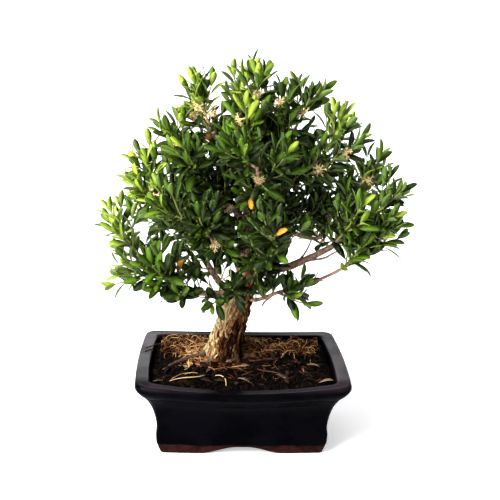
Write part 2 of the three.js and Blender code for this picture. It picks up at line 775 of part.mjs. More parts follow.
const flowers = Object.entries(FLOWERS).map(([name, [shootName, u, side]]) => {
  const shoot = shoots.find((s) => s.name === shootName);
  const start = shoot.greenFrom + GAP / shoot.length;
  const at = (w) => shootPoint(shoot, start + (1 - start) * w);
  const stem = at(u + 0.05).sub(at(u - 0.05)).normalize();
  const outward = squareTo(stem, vector(side));
  return { name, seat: along(at(u), outward, TWIG_RADIUS + GAP), outward };
});

// Building everything

const material = (color, roughness) => new THREE.MeshStandardMaterial({ color, roughness, metalness: 0 });
const glaze = material(0x15161d, 0.25);
const net = material(0x1d1f1e, 0.7);
const earth = material(0x2a1d14, 0.95);
const bark = material(0x9c7748, 0.85);
const flower = material(0xd9bd84, 0.8);
const husk = material(0x8f5a26, 0.6);
const youngLeaf = new THREE.Color(0x7fae2c);
const matureLeaf = new THREE.Color(0x2c4f1c);

const bonsai = new THREE.Group();
function show(name, solid, look) {
  const mesh = new THREE.Mesh(geometryOf(solid), look);
  mesh.name = name;
  bonsai.add(mesh);
}

show("pot", makePot(), glaze);
show("drain_net_left", makeNet(-1), net);
show("drain_net_right", makeNet(1), net);
show("soil", makeSoil(), earth);
show("trunk_and_branches", makeWood(), bark);

takeLine(branchLines.trunk.slice(3), TRUNK.slice(3).map((p) => p[3] + 0.4), "wood");
for (const [name, branch] of Object.entries(BRANCHES)) {
  const line = branchLines[name];
  takeLine(line, spread(line.length, branch.radii[0] + 0.4, branch.radii[1] + 0.4), "wood");
}
for (const twig of twigs) takeLine(twig.line, twig.radii.map((r) => r + 0.4), "wood");
for (const shoot of shoots) {
  const line = spread(6, shoot.greenFrom, 1).map((t) => shootPoint(shoot, t));
  takeLine(line, spread(6, 1.8, 1.8), shoot.name);
}
for (const { name, seat, outward } of flowers) {
  if (name === "seed_capsule") show(name, seedCapsule(seat, outward), husk);
  else show(name, flowerCluster(seat, outward), flower);
  taken.push({ at: along(seat, outward, 5.2), radius: 6.5, owner: name });
}
for (const shoot of shoots) {
  const height = THREE.MathUtils.smoothstep(shoot.tip.z, 150, 360);
  show(shoot.name, growShoot(shoot), material(matureLeaf.clone().lerp(youngLeaf, height), 0.5));
}

const middle = new THREE.Box3().setFromObject(bonsai).getCenter(new THREE.Vector3());
bonsai.position.set(-middle.x, -middle.y, 0);

export default bonsai;
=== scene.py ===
"""A potted boxwood bonsai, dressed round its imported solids: pot, soil, bark, shoots, flowers and stage."""

import math
import random
from functools import lru_cache

import bmesh
import bpy
from mathutils import Matrix, Vector, noise


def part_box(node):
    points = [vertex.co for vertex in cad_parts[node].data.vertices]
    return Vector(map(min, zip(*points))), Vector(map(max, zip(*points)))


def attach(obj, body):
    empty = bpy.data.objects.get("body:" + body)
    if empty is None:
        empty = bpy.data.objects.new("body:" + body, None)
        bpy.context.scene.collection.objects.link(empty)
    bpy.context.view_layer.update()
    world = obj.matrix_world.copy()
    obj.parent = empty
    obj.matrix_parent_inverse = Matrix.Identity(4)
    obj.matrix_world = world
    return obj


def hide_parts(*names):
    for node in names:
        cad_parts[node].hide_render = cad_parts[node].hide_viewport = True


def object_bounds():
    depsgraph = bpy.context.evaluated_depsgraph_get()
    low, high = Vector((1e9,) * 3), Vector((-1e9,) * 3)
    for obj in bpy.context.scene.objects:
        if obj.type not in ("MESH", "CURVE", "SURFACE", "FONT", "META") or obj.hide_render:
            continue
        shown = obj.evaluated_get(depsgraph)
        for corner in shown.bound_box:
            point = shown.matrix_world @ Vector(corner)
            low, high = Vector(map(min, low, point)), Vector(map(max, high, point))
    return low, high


bl_info = {
    "name": "Boxwood Bonsai",
    "version": (1, 0, 0),
    "blender": (4, 5, 0),
    "location": "3D Viewport > Sidebar > Bonsai",
    "description": "Makes a potted boxwood bonsai in its own frame",
    "category": "Object",
}

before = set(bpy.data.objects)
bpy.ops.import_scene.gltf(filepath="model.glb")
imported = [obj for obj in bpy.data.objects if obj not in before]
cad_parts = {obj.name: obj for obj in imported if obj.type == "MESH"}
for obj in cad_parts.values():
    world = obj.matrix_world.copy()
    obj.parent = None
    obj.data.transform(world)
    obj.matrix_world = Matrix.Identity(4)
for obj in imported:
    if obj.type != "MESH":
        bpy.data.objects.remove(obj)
CAD_BOX = [list(corner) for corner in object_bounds()]
POT_LOW, POT_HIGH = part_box("pot")
FOOT_CENTRE = Vector(((POT_LOW.x + POT_HIGH.x) / 2, (POT_LOW.y + POT_HIGH.y) / 2, 0.0))
MM = 0.001

# Every size and place below is in millimetres from the middle of the pot's foot, +X right, +Y back, +Z up.

# The pot's wall, as height and how far it stands in from the rim's outer edge.
POT_OUTSIDE = (
    (0, 22.8), (0.7, 21.9), (3.5, 20.9), (7, 19.8), (9.6, 19.1), (10.4, 18.5), (13, 18.2), (17, 17.95),
    (20.5, 17.9), (22.5, 18.2), (25, 18.6), (29, 18.7), (34, 18.2), (40, 17.2), (46, 15.6), (51, 13.9),
    (56, 11.4), (60, 9.1), (62.6, 7.1), (63.4, 6.9), (64.2, 5.4), (66, 4), (68, 2.6), (70.4, 1.1),
    (73, 0.15), (76, 0.2), (77.3, 0.65), (77.9, 1.5), (78, 2.4), (77.7, 3.6),
)
POT_INSIDE = (
    (77.5, 5), (77.5, 9.2), (77.4, 10.9), (76.7, 12), (75, 12.9), (70, 13.8), (62, 15.6), (54, 18.6),
    (45, 22), (14.5, 26),
)
FOOT_WIDTH = 13
RECESS_HEIGHT = 8
# The foot's inner side up to the recess under the floor, as height and how far in from the foot's inner edge.
FOOT_INSIDE = ((0.0, -0.9), (3.0, -0.5), (RECESS_HEIGHT, 1.1))
ARCH_HEIGHT = 7
ARCH_TOP = 10  # above this height the wall no longer follows the arches
LONG_ARCH_HALF_WIDTH = 40
SHORT_ARCH_HALF_WIDTH = 24
CORNER_RADIUS = 9
SMALLEST_CORNER_RADIUS = 3
CORNER_SHRINK = 0.25  # how much smaller a corner gets with each millimetre in from the rim
LONG_SIDE_BOW = 8  # how far the long sides bow out at the rim
SHORT_SIDE_BOW = 3
BOW_AT_FOOT = 0.25  # the share of the rim's bow that the foot has
BOWED_BETWEEN = (10, 78)  # the heights over which the bow grows to that of the rim
DIPPED_BETWEEN = (45, 72)  # the heights over which the rim's dip sets in
GLAZE_EDGE = 10
DRAIN_HOLE_X = 36
DRAIN_HOLE_RADIUS = 6
DRILL_HEIGHT = 12  # of the drill's middle
DRILL_LENGTH = 30

# The soil: its level by the wall, the mound round the trunk, and how far out roots lie in x and y.
SOIL_LEVEL = 69
MOUND_HEIGHT = 4
MOUND_SPREAD = 42
ROOT_LIMIT_X = 82
ROOT_LIMIT_Y = 60
SOIL_EDGE = 70  # the height at which the soil has the outline of the wall
# The soil's outline up to its edge, as height and how far in from the rim, and its rings inwards from there.
SOIL_OUTSIDE = ((16, 26.6), (45, 22.6), (SOIL_EDGE, 14.6))
SOIL_BOW = 0.97  # the share of the wall's bow that the soil has
SOIL_POINTS = (9, 75, 55)  # in each corner, long side and short side
SOIL_RINGS = 70
SOIL_HOLE = 0.015  # the share of its width in the middle that one ring closes

# Litter: its share of the crumbs' density, its smallest and largest size in metres, and its seed's shift.
LITTER = {
    "soil_crumbs": (1, 0.0012, 0.004, 0),
    "bark_chips": (0.07, 0.004, 0.009, 7),
    "white_grit": (0.003, 0.0009, 0.0018, 12),
}
LITTER_INSET = 17  # how far in from the rim loose pieces lie at least
LITTER_RINGS = 12
FALLEN_LEAVES = 64

# Dry and loose things: their dark, middle and pale colour, the scale of their grain and its depth in metres.
DRY_TONES = {
    "white_grit": ((0.35, 0.3, 0.22), (0.6, 0.56, 0.48), (0.8, 0.78, 0.74), 1500, 0.0003),
    "dry_leaf": ((0.005, 0.0026, 0.0018), (0.032, 0.016, 0.01), (0.36, 0.24, 0.15), 260, 0.0003),
    "tan_roots": ((0.04, 0.02, 0.012), (0.2, 0.1, 0.045), (0.66, 0.47, 0.24), 300, 0.0003),
    "fine_roots": ((0.008, 0.0035, 0.002), (0.2, 0.07, 0.024), (0.78, 0.46, 0.19), 90, 0.0002),
    "bark_slivers": ((0.06, 0.02, 0.008), (0.42, 0.17, 0.06), (1.0, 0.78, 0.4), 600, 0.0004),
}
PALE_CRUMB = (0.007, 0.0032, 0.0018)
NET_BLACK = (0.012, 0.014, 0.014)

# The trunk's heart line, as x, y, z and radius.
TRUNK = (
    (-19, 15, 42, 10), (-19, 15, 58, 17), (-18, 15, 70, 20.5), (-17, 15, 78, 18), (-14.5, 14, 90, 15.2),
    (-11, 13, 106, 12.8), (-6, 12, 122, 12), (0, 12, 142, 10.8), (3, 12, 164, 8.2), (3, 12, 188, 6.4),
    (3, 13, 214, 5.2), (6, 14, 246, 4.1), (8, 13, 282, 2.8), (8, 9, 312, 1.9),
)
FOOT_OF_TRUNK = Vector(TRUNK[2][:3])
SLIMMER_AT_RIGHT = 0.13  # how much of its radius the trunk lacks there
TRUNK_SIDES = 72
TRUNK_STEP = 1.4
BARK_SLIVERS = 1300
SLIVERS_FROM = 74
SLIVERS_REACH = 118  # how far up from there
SLIVER_LENGTH = (3, 12)
SLIVER_WIDTH = (0.6, 1.8)

# The roots that creep over the soil: heading from the trunk, reach, radius and how far the heading swings.
SURFACE_ROOTS = (
    (3.3, 66, 4.2, 0.3), (4.0, 46, 3.6, -0.4), (5.0, 44, 3.6, 0.3),
    (6.1, 62, 3.8, 0.2), (0.9, 40, 3.2, -0.5), (2.4, 44, 3.4, 0.4),
)
ROOT_BARK = 9  # surface roots have the bark of a trunk this thick

# The dead roots that arch out of the soil: x, y, heading, length and rise. The first ones are the palest.
DEAD_ROOTS = (
    (-72, -46, 0.2, 48, 4), (-16, -52, 1.9, 26, 4), (14, -14, 5.3, 44, 3),
    (68, -38, 1.5, 36, 2), (-74, 36, 0.1, 44, 3),
)

PALEST_DEAD_ROOTS = 2
DEAD_ROOT_RADIUS = 0.45
DEAD_ROOT_SWING = 0.45

# Two thinner ones at the left: x, y, heading, length, rise, radius, swing and tone.
THIN_DEAD_ROOTS = (
    (-70, -40, 0.9, 30, 3, 0.28, -0.7, 0.8), (-60, -30, 6.1, 24, 3, 0.3, 0.6, 0.8),
)

# The mats of fine roots on the soil: how many, the reach in x and y, how far they rise,
# how thick the mat is and their tones.
ROOT_MATS = (
    (270, (-80, -24), (22, 56), (0.4, 3), 5, (0.1, 1.25)),
    (340, (-8, 78), (18, 56), (0.4, 3), 4.5, (0.1, 1.2)),
    (60, (-80, 78), (-56, 24), (0.5, 3), 0, (0.0, 0.35)),
    (24, (-2, 66), (-34, 26), (0.5, 2.2), 0, (0.3, 0.95)),
)
MAT_ROOT_LENGTH = (7, 22)
MAT_ROOT_RADIUS = (0.12, 0.36)
MAT_ROOT_SWING = (-0.8, 0.8)

# The roots that run down the trunk's foot and out over the soil.
SKIRT_ROOTS = 230
SKIRT_TOP = (74, 116)
SKIRT_FOOT = 73
SKIRT_START = 21.5  # where they reach the soil, from the trunk's middle
SKIRT_REACH = (4, 34)
SKIRT_SWING = (-0.6, 0.6)

# Two dark twigs: one over the pot's left rim and one that sticks up behind the trunk.
STRAY_TWIGS = (
    ((-97, 17, 79.4), (-88, 27, 79.2), (-80, 36, 77.5), (-74, 42, 75)),
    ((-3, 44, 73), (0, 45, 83), (4, 46, 89), (10, 46, 87.5)),
)

# The bare twigs in the open space at the right, between the two branches there.
BARE_TWIGS = (
    ((69, 14, 196), (76.5, 2, 194.3), (83, -10, 196)),
    ((63, 16, 197), (72, 14, 204.8), (78, 12, 211), (81, 12, 222)),
    ((57, 18, 199), (64, 16, 204), (68, 16, 214), (67, 16, 226)),
    ((74, 6, 194), (79, 5, 201), (83, 3, 215), (84, 3, 225)),
    ((52, 0, 176), (55.3, -2, 181), (62, 6, 188), (67, 14, 197)),
    ((48, 0, 174), (65, -6, 180.4), (76.7, -10, 183.5), (84.5, -14, 189.5), (93.5, -16, 194.5)),
    ((30, -6, 146), (22.7, 2, 136), (19, 6, 129)),
)

# The main branches: the radius at both ends and the points each follows.
BRANCHES = {
    "right_main": (4.6, 1.8, ((3, 12, 156), (16, 10, 161), (43, 2, 171), (76, -8, 190), (97, -14, 207),
                            (114, -18, 226))),
    "right_low": (2.2, 1.2, ((0, 12, 140), (12, 4, 136), (34, -8, 148), (63, -16, 160), (88, -22, 174),
                             (112, -26, 190))),
    "right_cross": (3, 1.6, ((3, 13, 216), (24, 20, 211), (47, 18, 202), (72, 14, 197), (92, 22, 210))),
    "right_high": (3.6, 1.7, ((4, 13, 222), (24, 12, 238), (48, 10, 256), (70, 8, 276))),
    "left_low": (3.4, 1.3, ((-6, 12, 134), (-18, 6, 142), (-46, -6, 146), (-66, -12, 156), (-86, -16, 170),
                            (-96, -17, 183))),
    "left_mid": (3.8, 1.6, ((-8, 12, 136), (-22, 12, 150), (-34, 13, 168), (-52, 16, 196), (-70, 18, 222),
                            (-84, 16, 244))),
    "left_high": (3.4, 1.6, ((3, 12, 206), (-12, 10, 228), (-32, 8, 250), (-54, 8, 274))),
    "front_left": (3.6, 1.7, ((3, 12, 180), (-12, -12, 192), (-30, -34, 206), (-46, -48, 226))),
    "front_low": (3.2, 1.6, ((3, 12, 172), (12, -16, 180), (20, -44, 192), (26, -66, 208))),
    "front_high": (3, 1.6, ((5, 14, 228), (8, -8, 244), (10, -30, 260), (8, -46, 276))),
    "back_right": (3.8, 1.7, ((3, 12, 168), (24, 42, 182), (46, 66, 200), (60, 80, 222))),
    "back_left": (3.8, 1.7, ((2, 12, 174), (-22, 40, 188), (-46, 64, 206), (-62, 74, 228))),
    "back_high": (3.2, 1.6, ((4, 14, 222), (4, 38, 240), (2, 60, 258), (-2, 70, 276))),
    "top_left": (2.8, 1.5, ((6, 14, 246), (-10, 12, 270), (-26, 10, 292), (-36, 8, 308))),
    "top_right": (2.8, 1.5, ((7, 14, 250), (20, 12, 272), (34, 10, 290), (44, 8, 302))),
}

# The leafy shoots: the branch each grows from, which of its points, and the furthest point of its leaves.
SHOOTS = {
    "shoot_top_centre": ("trunk", 13, (6, 0, 376)),
    "shoot_top_left": ("top_left", 3, (-50, 0, 362)),
    "shoot_top_far_left": ("top_left", 2, (-62, 16, 333)),
    "shoot_top_centre_right": ("top_right", 2, (30, 0, 358)),
    "shoot_top_right": ("top_right", 3, (66, 6, 350)),
    "shoot_top_front": ("trunk", 12, (-6, -42, 338)),
    "shoot_top_back": ("trunk", 12, (-16, 42, 364)),
    "shoot_top_back_right": ("top_right", 1, (46, 50, 336)),
    "shoot_upper_right": ("right_high", 3, (98, 0, 331)),
    "shoot_upper_right_edge": ("right_high", 2, (118, -10, 306)),
    "shoot_right_shoulder": ("right_cross", 4, (136, 4, 294)),
    "shoot_upper_left": ("left_high", 3, (-78, -4, 308)),
    "shoot_left_shoulder": ("left_mid", 5, (-100, 8, 281)),
    "shoot_upper_front_left": ("left_high", 2, (-62, -52, 300)),
    "shoot_upper_front": ("front_high", 3, (-22, -76, 304)),
    "shoot_upper_front_right": ("front_high", 2, (40, -72, 300)),
    "shoot_upper_back_right": ("right_high", 1, (80, 60, 302)),
    "shoot_upper_back": ("back_high", 3, (28, 94, 304)),
    "shoot_upper_back_left": ("back_high", 2, (-36, 98, 294)),
    "shoot_left_back_upper": ("left_high", 2, (-80, 60, 290)),
    "shoot_right_end": ("right_main", 5, (154, -12, 258)),
    "shoot_right_end_front": ("right_main", 4, (142, -56, 240)),
    "shoot_right_end_low": ("right_low", 5, (145, -34, 222)),
    "shoot_right_low_middle": ("right_low", 4, (116, -50, 215)),
    "shoot_right_low_near": ("right_low", 2, (58, -38, 150)),
    "shoot_left_end": ("left_mid", 4, (-112, -8, 266)),
    "shoot_left_end_low": ("left_low", 5, (-134, -14, 240)),
    "shoot_left_low": ("left_low", 4, (-123, -26, 171)),
    "shoot_left_low_near": ("left_low", 2, (-74, -34, 160)),
    "shoot_left_front": ("front_left", 3, (-94, -66, 252)),
    "shoot_left_front_low": ("left_low", 3, (-90, -66, 196)),
    "shoot_front_left": ("front_left", 2, (-46, -94, 246)),
    "shoot_front": ("front_low", 3, (8, -106, 250)),
    "shoot_front_right": ("right_main", 1, (24, -52, 208)),
    "shoot_front_right_upper": ("right_main", 3, (104, -76, 256)),
    "shoot_right_back": ("right_cross", 3, (128, 52, 258)),
    "shoot_back_right": ("back_right", 3, (92, 96, 256)),
    "shoot_back": ("back_right", 2, (34, 120, 250)),
    "shoot_back_left": ("back_left", 3, (-42, 118, 258)),
    "shoot_left_back": ("back_left", 2, (-92, 94, 236)),
    "shoot_left_back_edge": ("left_mid", 3, (-118, 50, 236)),
    "shoot_back_right_low": ("back_right", 1, (52, 96, 192)),
    "shoot_back_left_low": ("back_left", 1, (-60, 88, 190)),
    "shoot_trunk_left": ("left_low", 1, (-40, -28, 146)),
    "shoot_trunk_front": ("trunk", 7, (-24, -58, 178)),
    "shoot_inner_right": ("right_cross", 1, (38, -24, 246)),
    "shoot_inner_left": ("left_high", 1, (-44, -22, 266)),
    "shoot_inner_back_left": ("back_left", 1, (-22, 64, 240)),
    "shoot_inner_far_right": ("right_cross", 2, (86, 8, 246)),
    "shoot_inner_back": ("back_high", 1, (16, 66, 292)),
}
LEAF_REACH = 17  # how far the end leaves of a shoot reach past its stem
SHOOT_LENGTH = 50
SHOOT_SAG = 0.13
STEM_BASE_RADIUS = 1.2
STEM_TIP_RADIUS = 0.7
SIDE_SHOOTS = 5

# The share of each branch, from its root, that has no leafy spurs.
BARE_SHARES = {"right_main": 0.72, "right_low": 0.1, "left_low": 0.14, "left_mid": 0.14, "trunk": 0.0}
USUAL_BARE_SHARE = 0.2
SPURS_FROM = 7  # the point of the trunk above which spurs grow on it
SPUR_LENGTH = (8, 30)

# Leaves: the box that their tips stay in, how much they turn up, and the few that are withered.
LEAF_LIMITS = [tuple((corner[i] - FOOT_CENTRE[i]) / MM for i in range(3)) for corner in CAD_BOX]
SHORTEST_LEAF = 6
LEAF_LIFT = Vector((0, 0, 0.08))
WITHERED_SHARE = 0.004
WITHERED_TONE = 1.4

# The crown's middle, and its reach in x, y and z. Its underside rises towards the right from x = 60.
CROWN_MIDDLE = Vector((8, 6, 225))
CROWN_REACH = (150, 115, 150)
CROWN_BOTTOM = 152
CROWN_BOTTOM_RISES_FROM = 60
CROWN_BOTTOM_RISE = 0.7

# The open space under its right side, which is highest at x = 70, and the one over the limbs at the left.
OPEN_AT_RIGHT = (30, 104)
OPEN_AT_RIGHT_TOP = 206
OPEN_AT_RIGHT_MIDDLE = 70
OPEN_AT_RIGHT_SLOPE = 0.25
BARE_LIMBS = (-44, 18)
BARE_LIMBS_TOP = 176
BARE_LIMBS_BACK = 30

# The leaves low down, just right of the trunk: from where to where in x and in z.
LOW_LEAVES_X = (8, 54)
LOW_LEAVES_Z = (126, 174)

# The middle and reach of the light. It reaches past the crown in y, so leaves far in front or behind
# are a little darker than those at the sides.
LIGHT_MIDDLE = Vector((8, 6, 215))
LIGHT_REACH = (150, 190, 150)

# Half the width of a leaf, and of a sliver of bark, at each share of its length.
LEAF_STATIONS = (
    (0.0, 0.1), (0.07, 0.14), (0.2, 0.48), (0.38, 0.84), (0.57, 1.0), (0.75, 0.92), (0.9, 0.62),
    (0.985, 0.22),
)
SLIVER_STATIONS = ((0.0, 0.5), (0.2, 0.9), (0.5, 1.0), (0.8, 0.6), (1.0, 0.12))

# A petal's section at each share of its length: how far out it leans and half its width.
PETAL_STATIONS = ((0.0, 0.02, 0.07), (0.45, 0.1, 0.1), (0.8, 0.34, 0.12), (1.0, 0.62, 0.04))
PETALS = 5

# Flowers and the capsule that have solids: the shoot, how far up its leafy part, and the side faced.
FLOWERS = {
    "flowers_top_left": ("shoot_top_far_left", 0.84, (-0.2, -1, 0.1)),
    "flowers_top": ("shoot_top_centre", 0.52, (0.3, -1, 0.1)),
    "flowers_right": ("shoot_right_shoulder", 0.58, (-0.3, -1, 0)),
    "flowers_front_left": ("shoot_front_left", 0.15, (0.5, -1, -0.6)),
}
CAPSULE = ("shoot_top_far_left", 0.1, (-0.3, -1, -0.7))
CAPSULE_RADIUS = 3.6
MORE_FLOWERS = (
    ("shoot_top_left", 0.4, (-0.6, -1, 0)),
    ("shoot_top_left", 0.1, (0.8, -1, 0.1)),
    ("shoot_top_front", 0.8, (-1, -0.3, 0)),
    ("shoot_top_front", 0.5, (-0.7, -1, 0)),
    ("shoot_top_centre_right", 0.8, (-0.4, -1, 0)),
    ("shoot_top_right", 0.5, (-0.2, -1, 0)),
    ("shoot_upper_front_right", 0.12, (-0.3, -1, 0.3)),
    ("shoot_upper_right_edge", 0.12, (-0.5, -1, 0)),
    ("shoot_upper_right_edge", 0.72, (-0.2, -1, 0)),
    ("shoot_right_shoulder", 0.2, (-0.3, -1, 0.2)),
    ("shoot_upper_left", 0.8, (-0.2, -1, 0)),
    ("shoot_left_end", 0.62, (0.1, -1, 0.2)),
    ("shoot_inner_left", 0.1, (0.2, -1, -0.3)),
    ("shoot_upper_back", 0.36, (0.5, 1, 0.2)),
    ("shoot_left_back", 0.4, (-0.5, 1, 0.2)),
    ("shoot_right_back", 0.4, (0.5, 1, 0.2)),
    ("shoot_top_back", 0.5, (0.2, 1, 0)),
)
FLOWER_STALK = 6
FLORETS = 30

# Where the photograph looks past the leaves: a place, how wide, and how far the gap goes in front and behind.
GAPS = (
    ((1, 12, 160), 8, 120, 0),
    ((3, 12, 182), 6, 120, 0),
    ((-24, 12, 152), 9, 120, 0),
    ((-34, 13, 166), 6, 120, 0),
    ((-22, 4, 143), 6, 120, 0),
    ((-34, 8, 150), 8, 120, 120),
    ((-14, 8, 167), 8, 120, 120),
    ((-77, -5, 182), 5, 120, 120),
    ((-67, -5, 172), 5, 120, 120),
    ((-56, -5, 156), 6, 120, 120),
    ((-96, -5, 203), 5, 120, 120),
    ((-40, -2, 143), 6, 120, 0),
)
FLOWER_GAP = (5.5, 28, 0)
CAPSULE_GAP = (9, 70, 0)

# The lamps: place, the place each looks at, its size in metres and the setting with its power.
LAMPS = {
    "key_light": ((-600, -520, 740), (0, 0, 190), 0.6, "key_power"),
    "fill_light": ((-420, -800, 140), (0, 0, 130), 0.5, "fill_power"),
    "backdrop_light": ((0, 900, 1500), (0, 2200, 500), 1.2, "backdrop_power"),
}

# The floor and the wall behind that it curves up into, in metres.
FLOOR_HALF_WIDTH = 4.0
CURVE_START = 1.6
CURVE_RADIUS = 0.6
WALL_TOP = 3.0

# The camera, as found from the pot's corners.
CAMERA_PLACE = (-32, -777, 392)
CAMERA_YAW = math.radians(2.78)
CAMERA_PITCH = math.radians(14.69)
CAMERA_ROLL = math.radians(1.44)
FOCAL_PIXELS = 832
PICTURE_PIXELS = 500
SENSOR_WIDTH = 36


# Sizes and colours that a user would change


def length_property(name, description, default):
    return bpy.props.FloatProperty(
        name=name, description=description, default=default, min=0.0, unit="LENGTH", precision=4
    )


def colour_property(name, description, default):
    return bpy.props.FloatVectorProperty(
        name=name, description=description, default=default, subtype="COLOR", size=3, min=0.0, max=1.0
    )


def number_property(name, description, default):
    return bpy.props.FloatProperty(name=name, description=description, default=default, min=0.0)


def seed_property(description, default):
    return bpy.props.IntProperty(name="Seed", description=description, default=default, min=0)


class BonsaiPotSettings(bpy.types.PropertyGroup):
    half_length: length_property("Half Length", "Half the rim's length at its corners", 0.1)
    half_depth: length_property("Half Depth", "Half the rim's depth at its corners", 0.075)
    rim_dip: length_property("Rim Dip", "How much lower the rim is at the middle of its long sides", 0.004)
    unevenness: length_property("Unevenness", "How far the hand-made wall wanders", 0.0002)
    glaze: colour_property("Glaze", "The glossy glaze", (0.0005, 0.0005, 0.0009))
    # The rim sheen is a painted reflection: a paler colour painted on top of the rim.
    rim_sheen: colour_property("Rim Glaze", "The satin glaze on top of the rim", (0.013, 0.007, 0.011))
    clay: colour_property("Clay", "The bare clay of the feet", (0.025, 0.0085, 0.007))


class BonsaiSoilSettings(bpy.types.PropertyGroup):
    dark: colour_property("Dark", "Moist peat", (0.0012, 0.0007, 0.0005))
    brown: colour_property("Brown", "Drier crumbs", (0.004, 0.0018, 0.0011))
    relief: length_property("Relief", "Height of the crumbs in the surface", 0.0016)
    crumb_density: number_property("Crumb Density", "Loose crumbs on each square metre", 150000.0)
    seed: seed_property("Where the loose pieces lie", 4)


class BonsaiWoodSettings(bpy.types.PropertyGroup):
    tan: colour_property("Tan", "The corky bark of the trunk", (0.88, 0.64, 0.3))
    brown: colour_property("Brown", "Flakes and the shaded side", (0.32, 0.125, 0.045))
    fissure: colour_property("Fissure", "The bottoms of the cracks", (0.022, 0.010, 0.005))
    twig: colour_property("Twig", "Thin branches", (0.27, 0.16, 0.115))
    relief: length_property("Relief", "Depth of the bark's ridges", 0.0016)


class BonsaiLeafSettings(bpy.types.PropertyGroup):
    length: length_property("Length", "A full-grown leaf's length", 0.021)
    width: length_property("Width", "A full-grown leaf's width", 0.0074)
    spacing: length_property("Pair Spacing", "Between two pairs of leaves on a stem", 0.006)
    spur_spacing: length_property("Spur Spacing", "Between two leafy spurs inside the crown", 0.003)
    variation: bpy.props.FloatProperty(
        name="Variation", description="How much leaves differ in size", default=0.14, min=0.0, max=1.0,
        subtype="FACTOR",
    )
    seed: seed_property("Which leaves are larger", 2)
    # Young, mature and old follow each leaf's tone, so they also paint light and shade: old is also the
    # colour of leaves in painted shade.
    young: colour_property("Young", "New leaves at the tips", (0.34, 0.45, 0.045))
    mature: colour_property("Mature", "Leaves in the light", (0.068, 0.145, 0.006))
    old: colour_property("Old", "Leaves inside the crown", (0.005, 0.013, 0.0015))
    underside: colour_property("Underside", "The pale lower face", (0.11, 0.18, 0.04))
    withered: colour_property("Withered", "The few leaves about to fall", (0.5, 0.22, 0.025))
    stem: colour_property("Stem", "Green stems", (0.27, 0.31, 0.07))


class BonsaiFlowerSettings(bpy.types.PropertyGroup):
    petal: colour_property("Petal", "Dry cream petals", (0.85, 0.66, 0.35))
    faded: colour_property("Faded", "Withered petals", (0.5, 0.27, 0.1))
    husk: colour_property("Husk", "The seed capsule", (0.85, 0.36, 0.08))


class BonsaiStageSettings(bpy.types.PropertyGroup):
    floor: colour_property("Floor", "The pale floor", (0.93, 0.93, 0.95))
    floor_glow: number_property("Floor Glow", "How much light the floor gives off itself", 0.44)
    key_power: number_property("Key Light", "Power of the large light at the upper left", 27.0)
    fill_power: number_property("Fill Light", "Power of the low light at the left", 4.5)
    backdrop_power: number_property("Backdrop Light", "Power of the light on the wall behind", 40.0)
    sky: number_property("Sky", "Brightness of the white surroundings", 0.17)


# Small helpers


def place(point):
    """A point given in millimetres from the pot's foot, in the frame's metres."""
    return Vector(point[:3]) * MM + FOOT_CENTRE


def smoothstep(value, low, high):
    """0 below low, 1 above high and smooth between."""
    share = min(max((value - low) / (high - low), 0.0), 1.0)
    return share * share * (3 - 2 * share)


def spread(count, start, end):
    return [start + (end - start) * i / (count - 1) for i in range(count)]


def turns(count):
    """Equal turns round a full circle."""
    return [2 * math.pi * k / count for k in range(count)]


def mix(a, b, share):
    return a + (b - a) * share


def limited(value, limit):
    return max(-limit, min(limit, value))


def lies_in(value, ends):
    return ends[0] < value < ends[1]


def tinted(colour, share):
    """A colour made darker, or lighter up to full white."""
    return [min(1.0, part * share) for part in colour]


def turned(first, second, turn):
    """The direction at a turn from the first towards the second."""
    return first * math.cos(turn) + second * math.sin(turn)


def level_way(turn):
    return Vector((math.cos(turn), math.sin(turn), 0))


def square_to(direction, v):
    """The part of v that is square to a direction, as a unit vector."""
    return (v - direction * v.dot(direction)).normalized()


def sides_of(direction):
    """Two directions square to a stem and to each other, the first one level."""
    level = direction.cross(Vector((0, 0, 1)))
    nearly_upright = level.length < 0.05
    first = square_to(direction, Vector((1, 0, 0)) if nearly_upright else level)
    return first, direction.cross(first)


def curve_value(before, a, b, after, t):
    """A number on the smooth curve from a to b, as t goes from 0 to 1."""
    square = (2 * before - 5 * a + 4 * b - after) * t**2
    cube = (3 * a - before - 3 * b + after) * t**3
    return 0.5 * (2 * a + (b - before) * t + square + cube)


def smooth_line(points, step):
    """Points at about equal steps along a smooth curve through rows of numbers that start with x, y, z."""
    rows = [tuple(float(v) for v in p) for p in points]
    padded = [rows[0], *rows, rows[-1]]
    line = []
    for i in range(1, len(padded) - 2):
        four = padded[i - 1 : i + 3]
        count = max(1, round((Vector(four[1][:3]) - Vector(four[2][:3])).length / step))
        for k in range(count):
            line.append(tuple(curve_value(*numbers, k / count) for numbers in zip(*four)))
    line.append(rows[-1])
    return line


def tapered(points, first, last):
    """The points, each with a radius that goes from the first to the last."""
    return [(*p, radius) for p, radius in zip(points, spread(len(points), first, last))]


def seeded_draws(seed):
    """The same stream of numbers from 0 to 1 that the solids' shoots are drawn with."""
    word = 0xFFFFFFFF
    state = seed

    def draw():
        nonlocal state
        state = (state + 0x6D2B79F5) & word
        t = ((state ^ (state >> 15)) * (state | 1)) & word
        t ^= (t + (((t ^ (t >> 7)) * (t | 61)) & word)) & word
        return ((t ^ (t >> 14)) & word) / (word + 1)

    return draw


def make_object(name, data):
    piece = bpy.data.objects.new(name, data)
    bpy.context.scene.collection.objects.link(piece)
    return piece


def finish_piece(piece, nodes=()):
    """The piece moves with the one body and stands for its solids, which are hidden."""
    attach(piece, "root")
    if nodes:
        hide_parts(*nodes)


def skin_faces(rings, sides, start=0):
    """The four-sided faces between neighbouring rings of points."""
    faces = []
    for r in range(rings - 1):
        for k in range(sides):
            a = start + r * sides + k
            b = start + r * sides + (k + 1) % sides
            faces.append((a, b, b + sides, a + sides))
    return faces


def face_outwards(mesh):
    tool = bmesh.new()
    tool.from_mesh(mesh)
    bmesh.ops.recalc_face_normals(tool, faces=tool.faces)
    tool.to_mesh(mesh)
    tool.free()


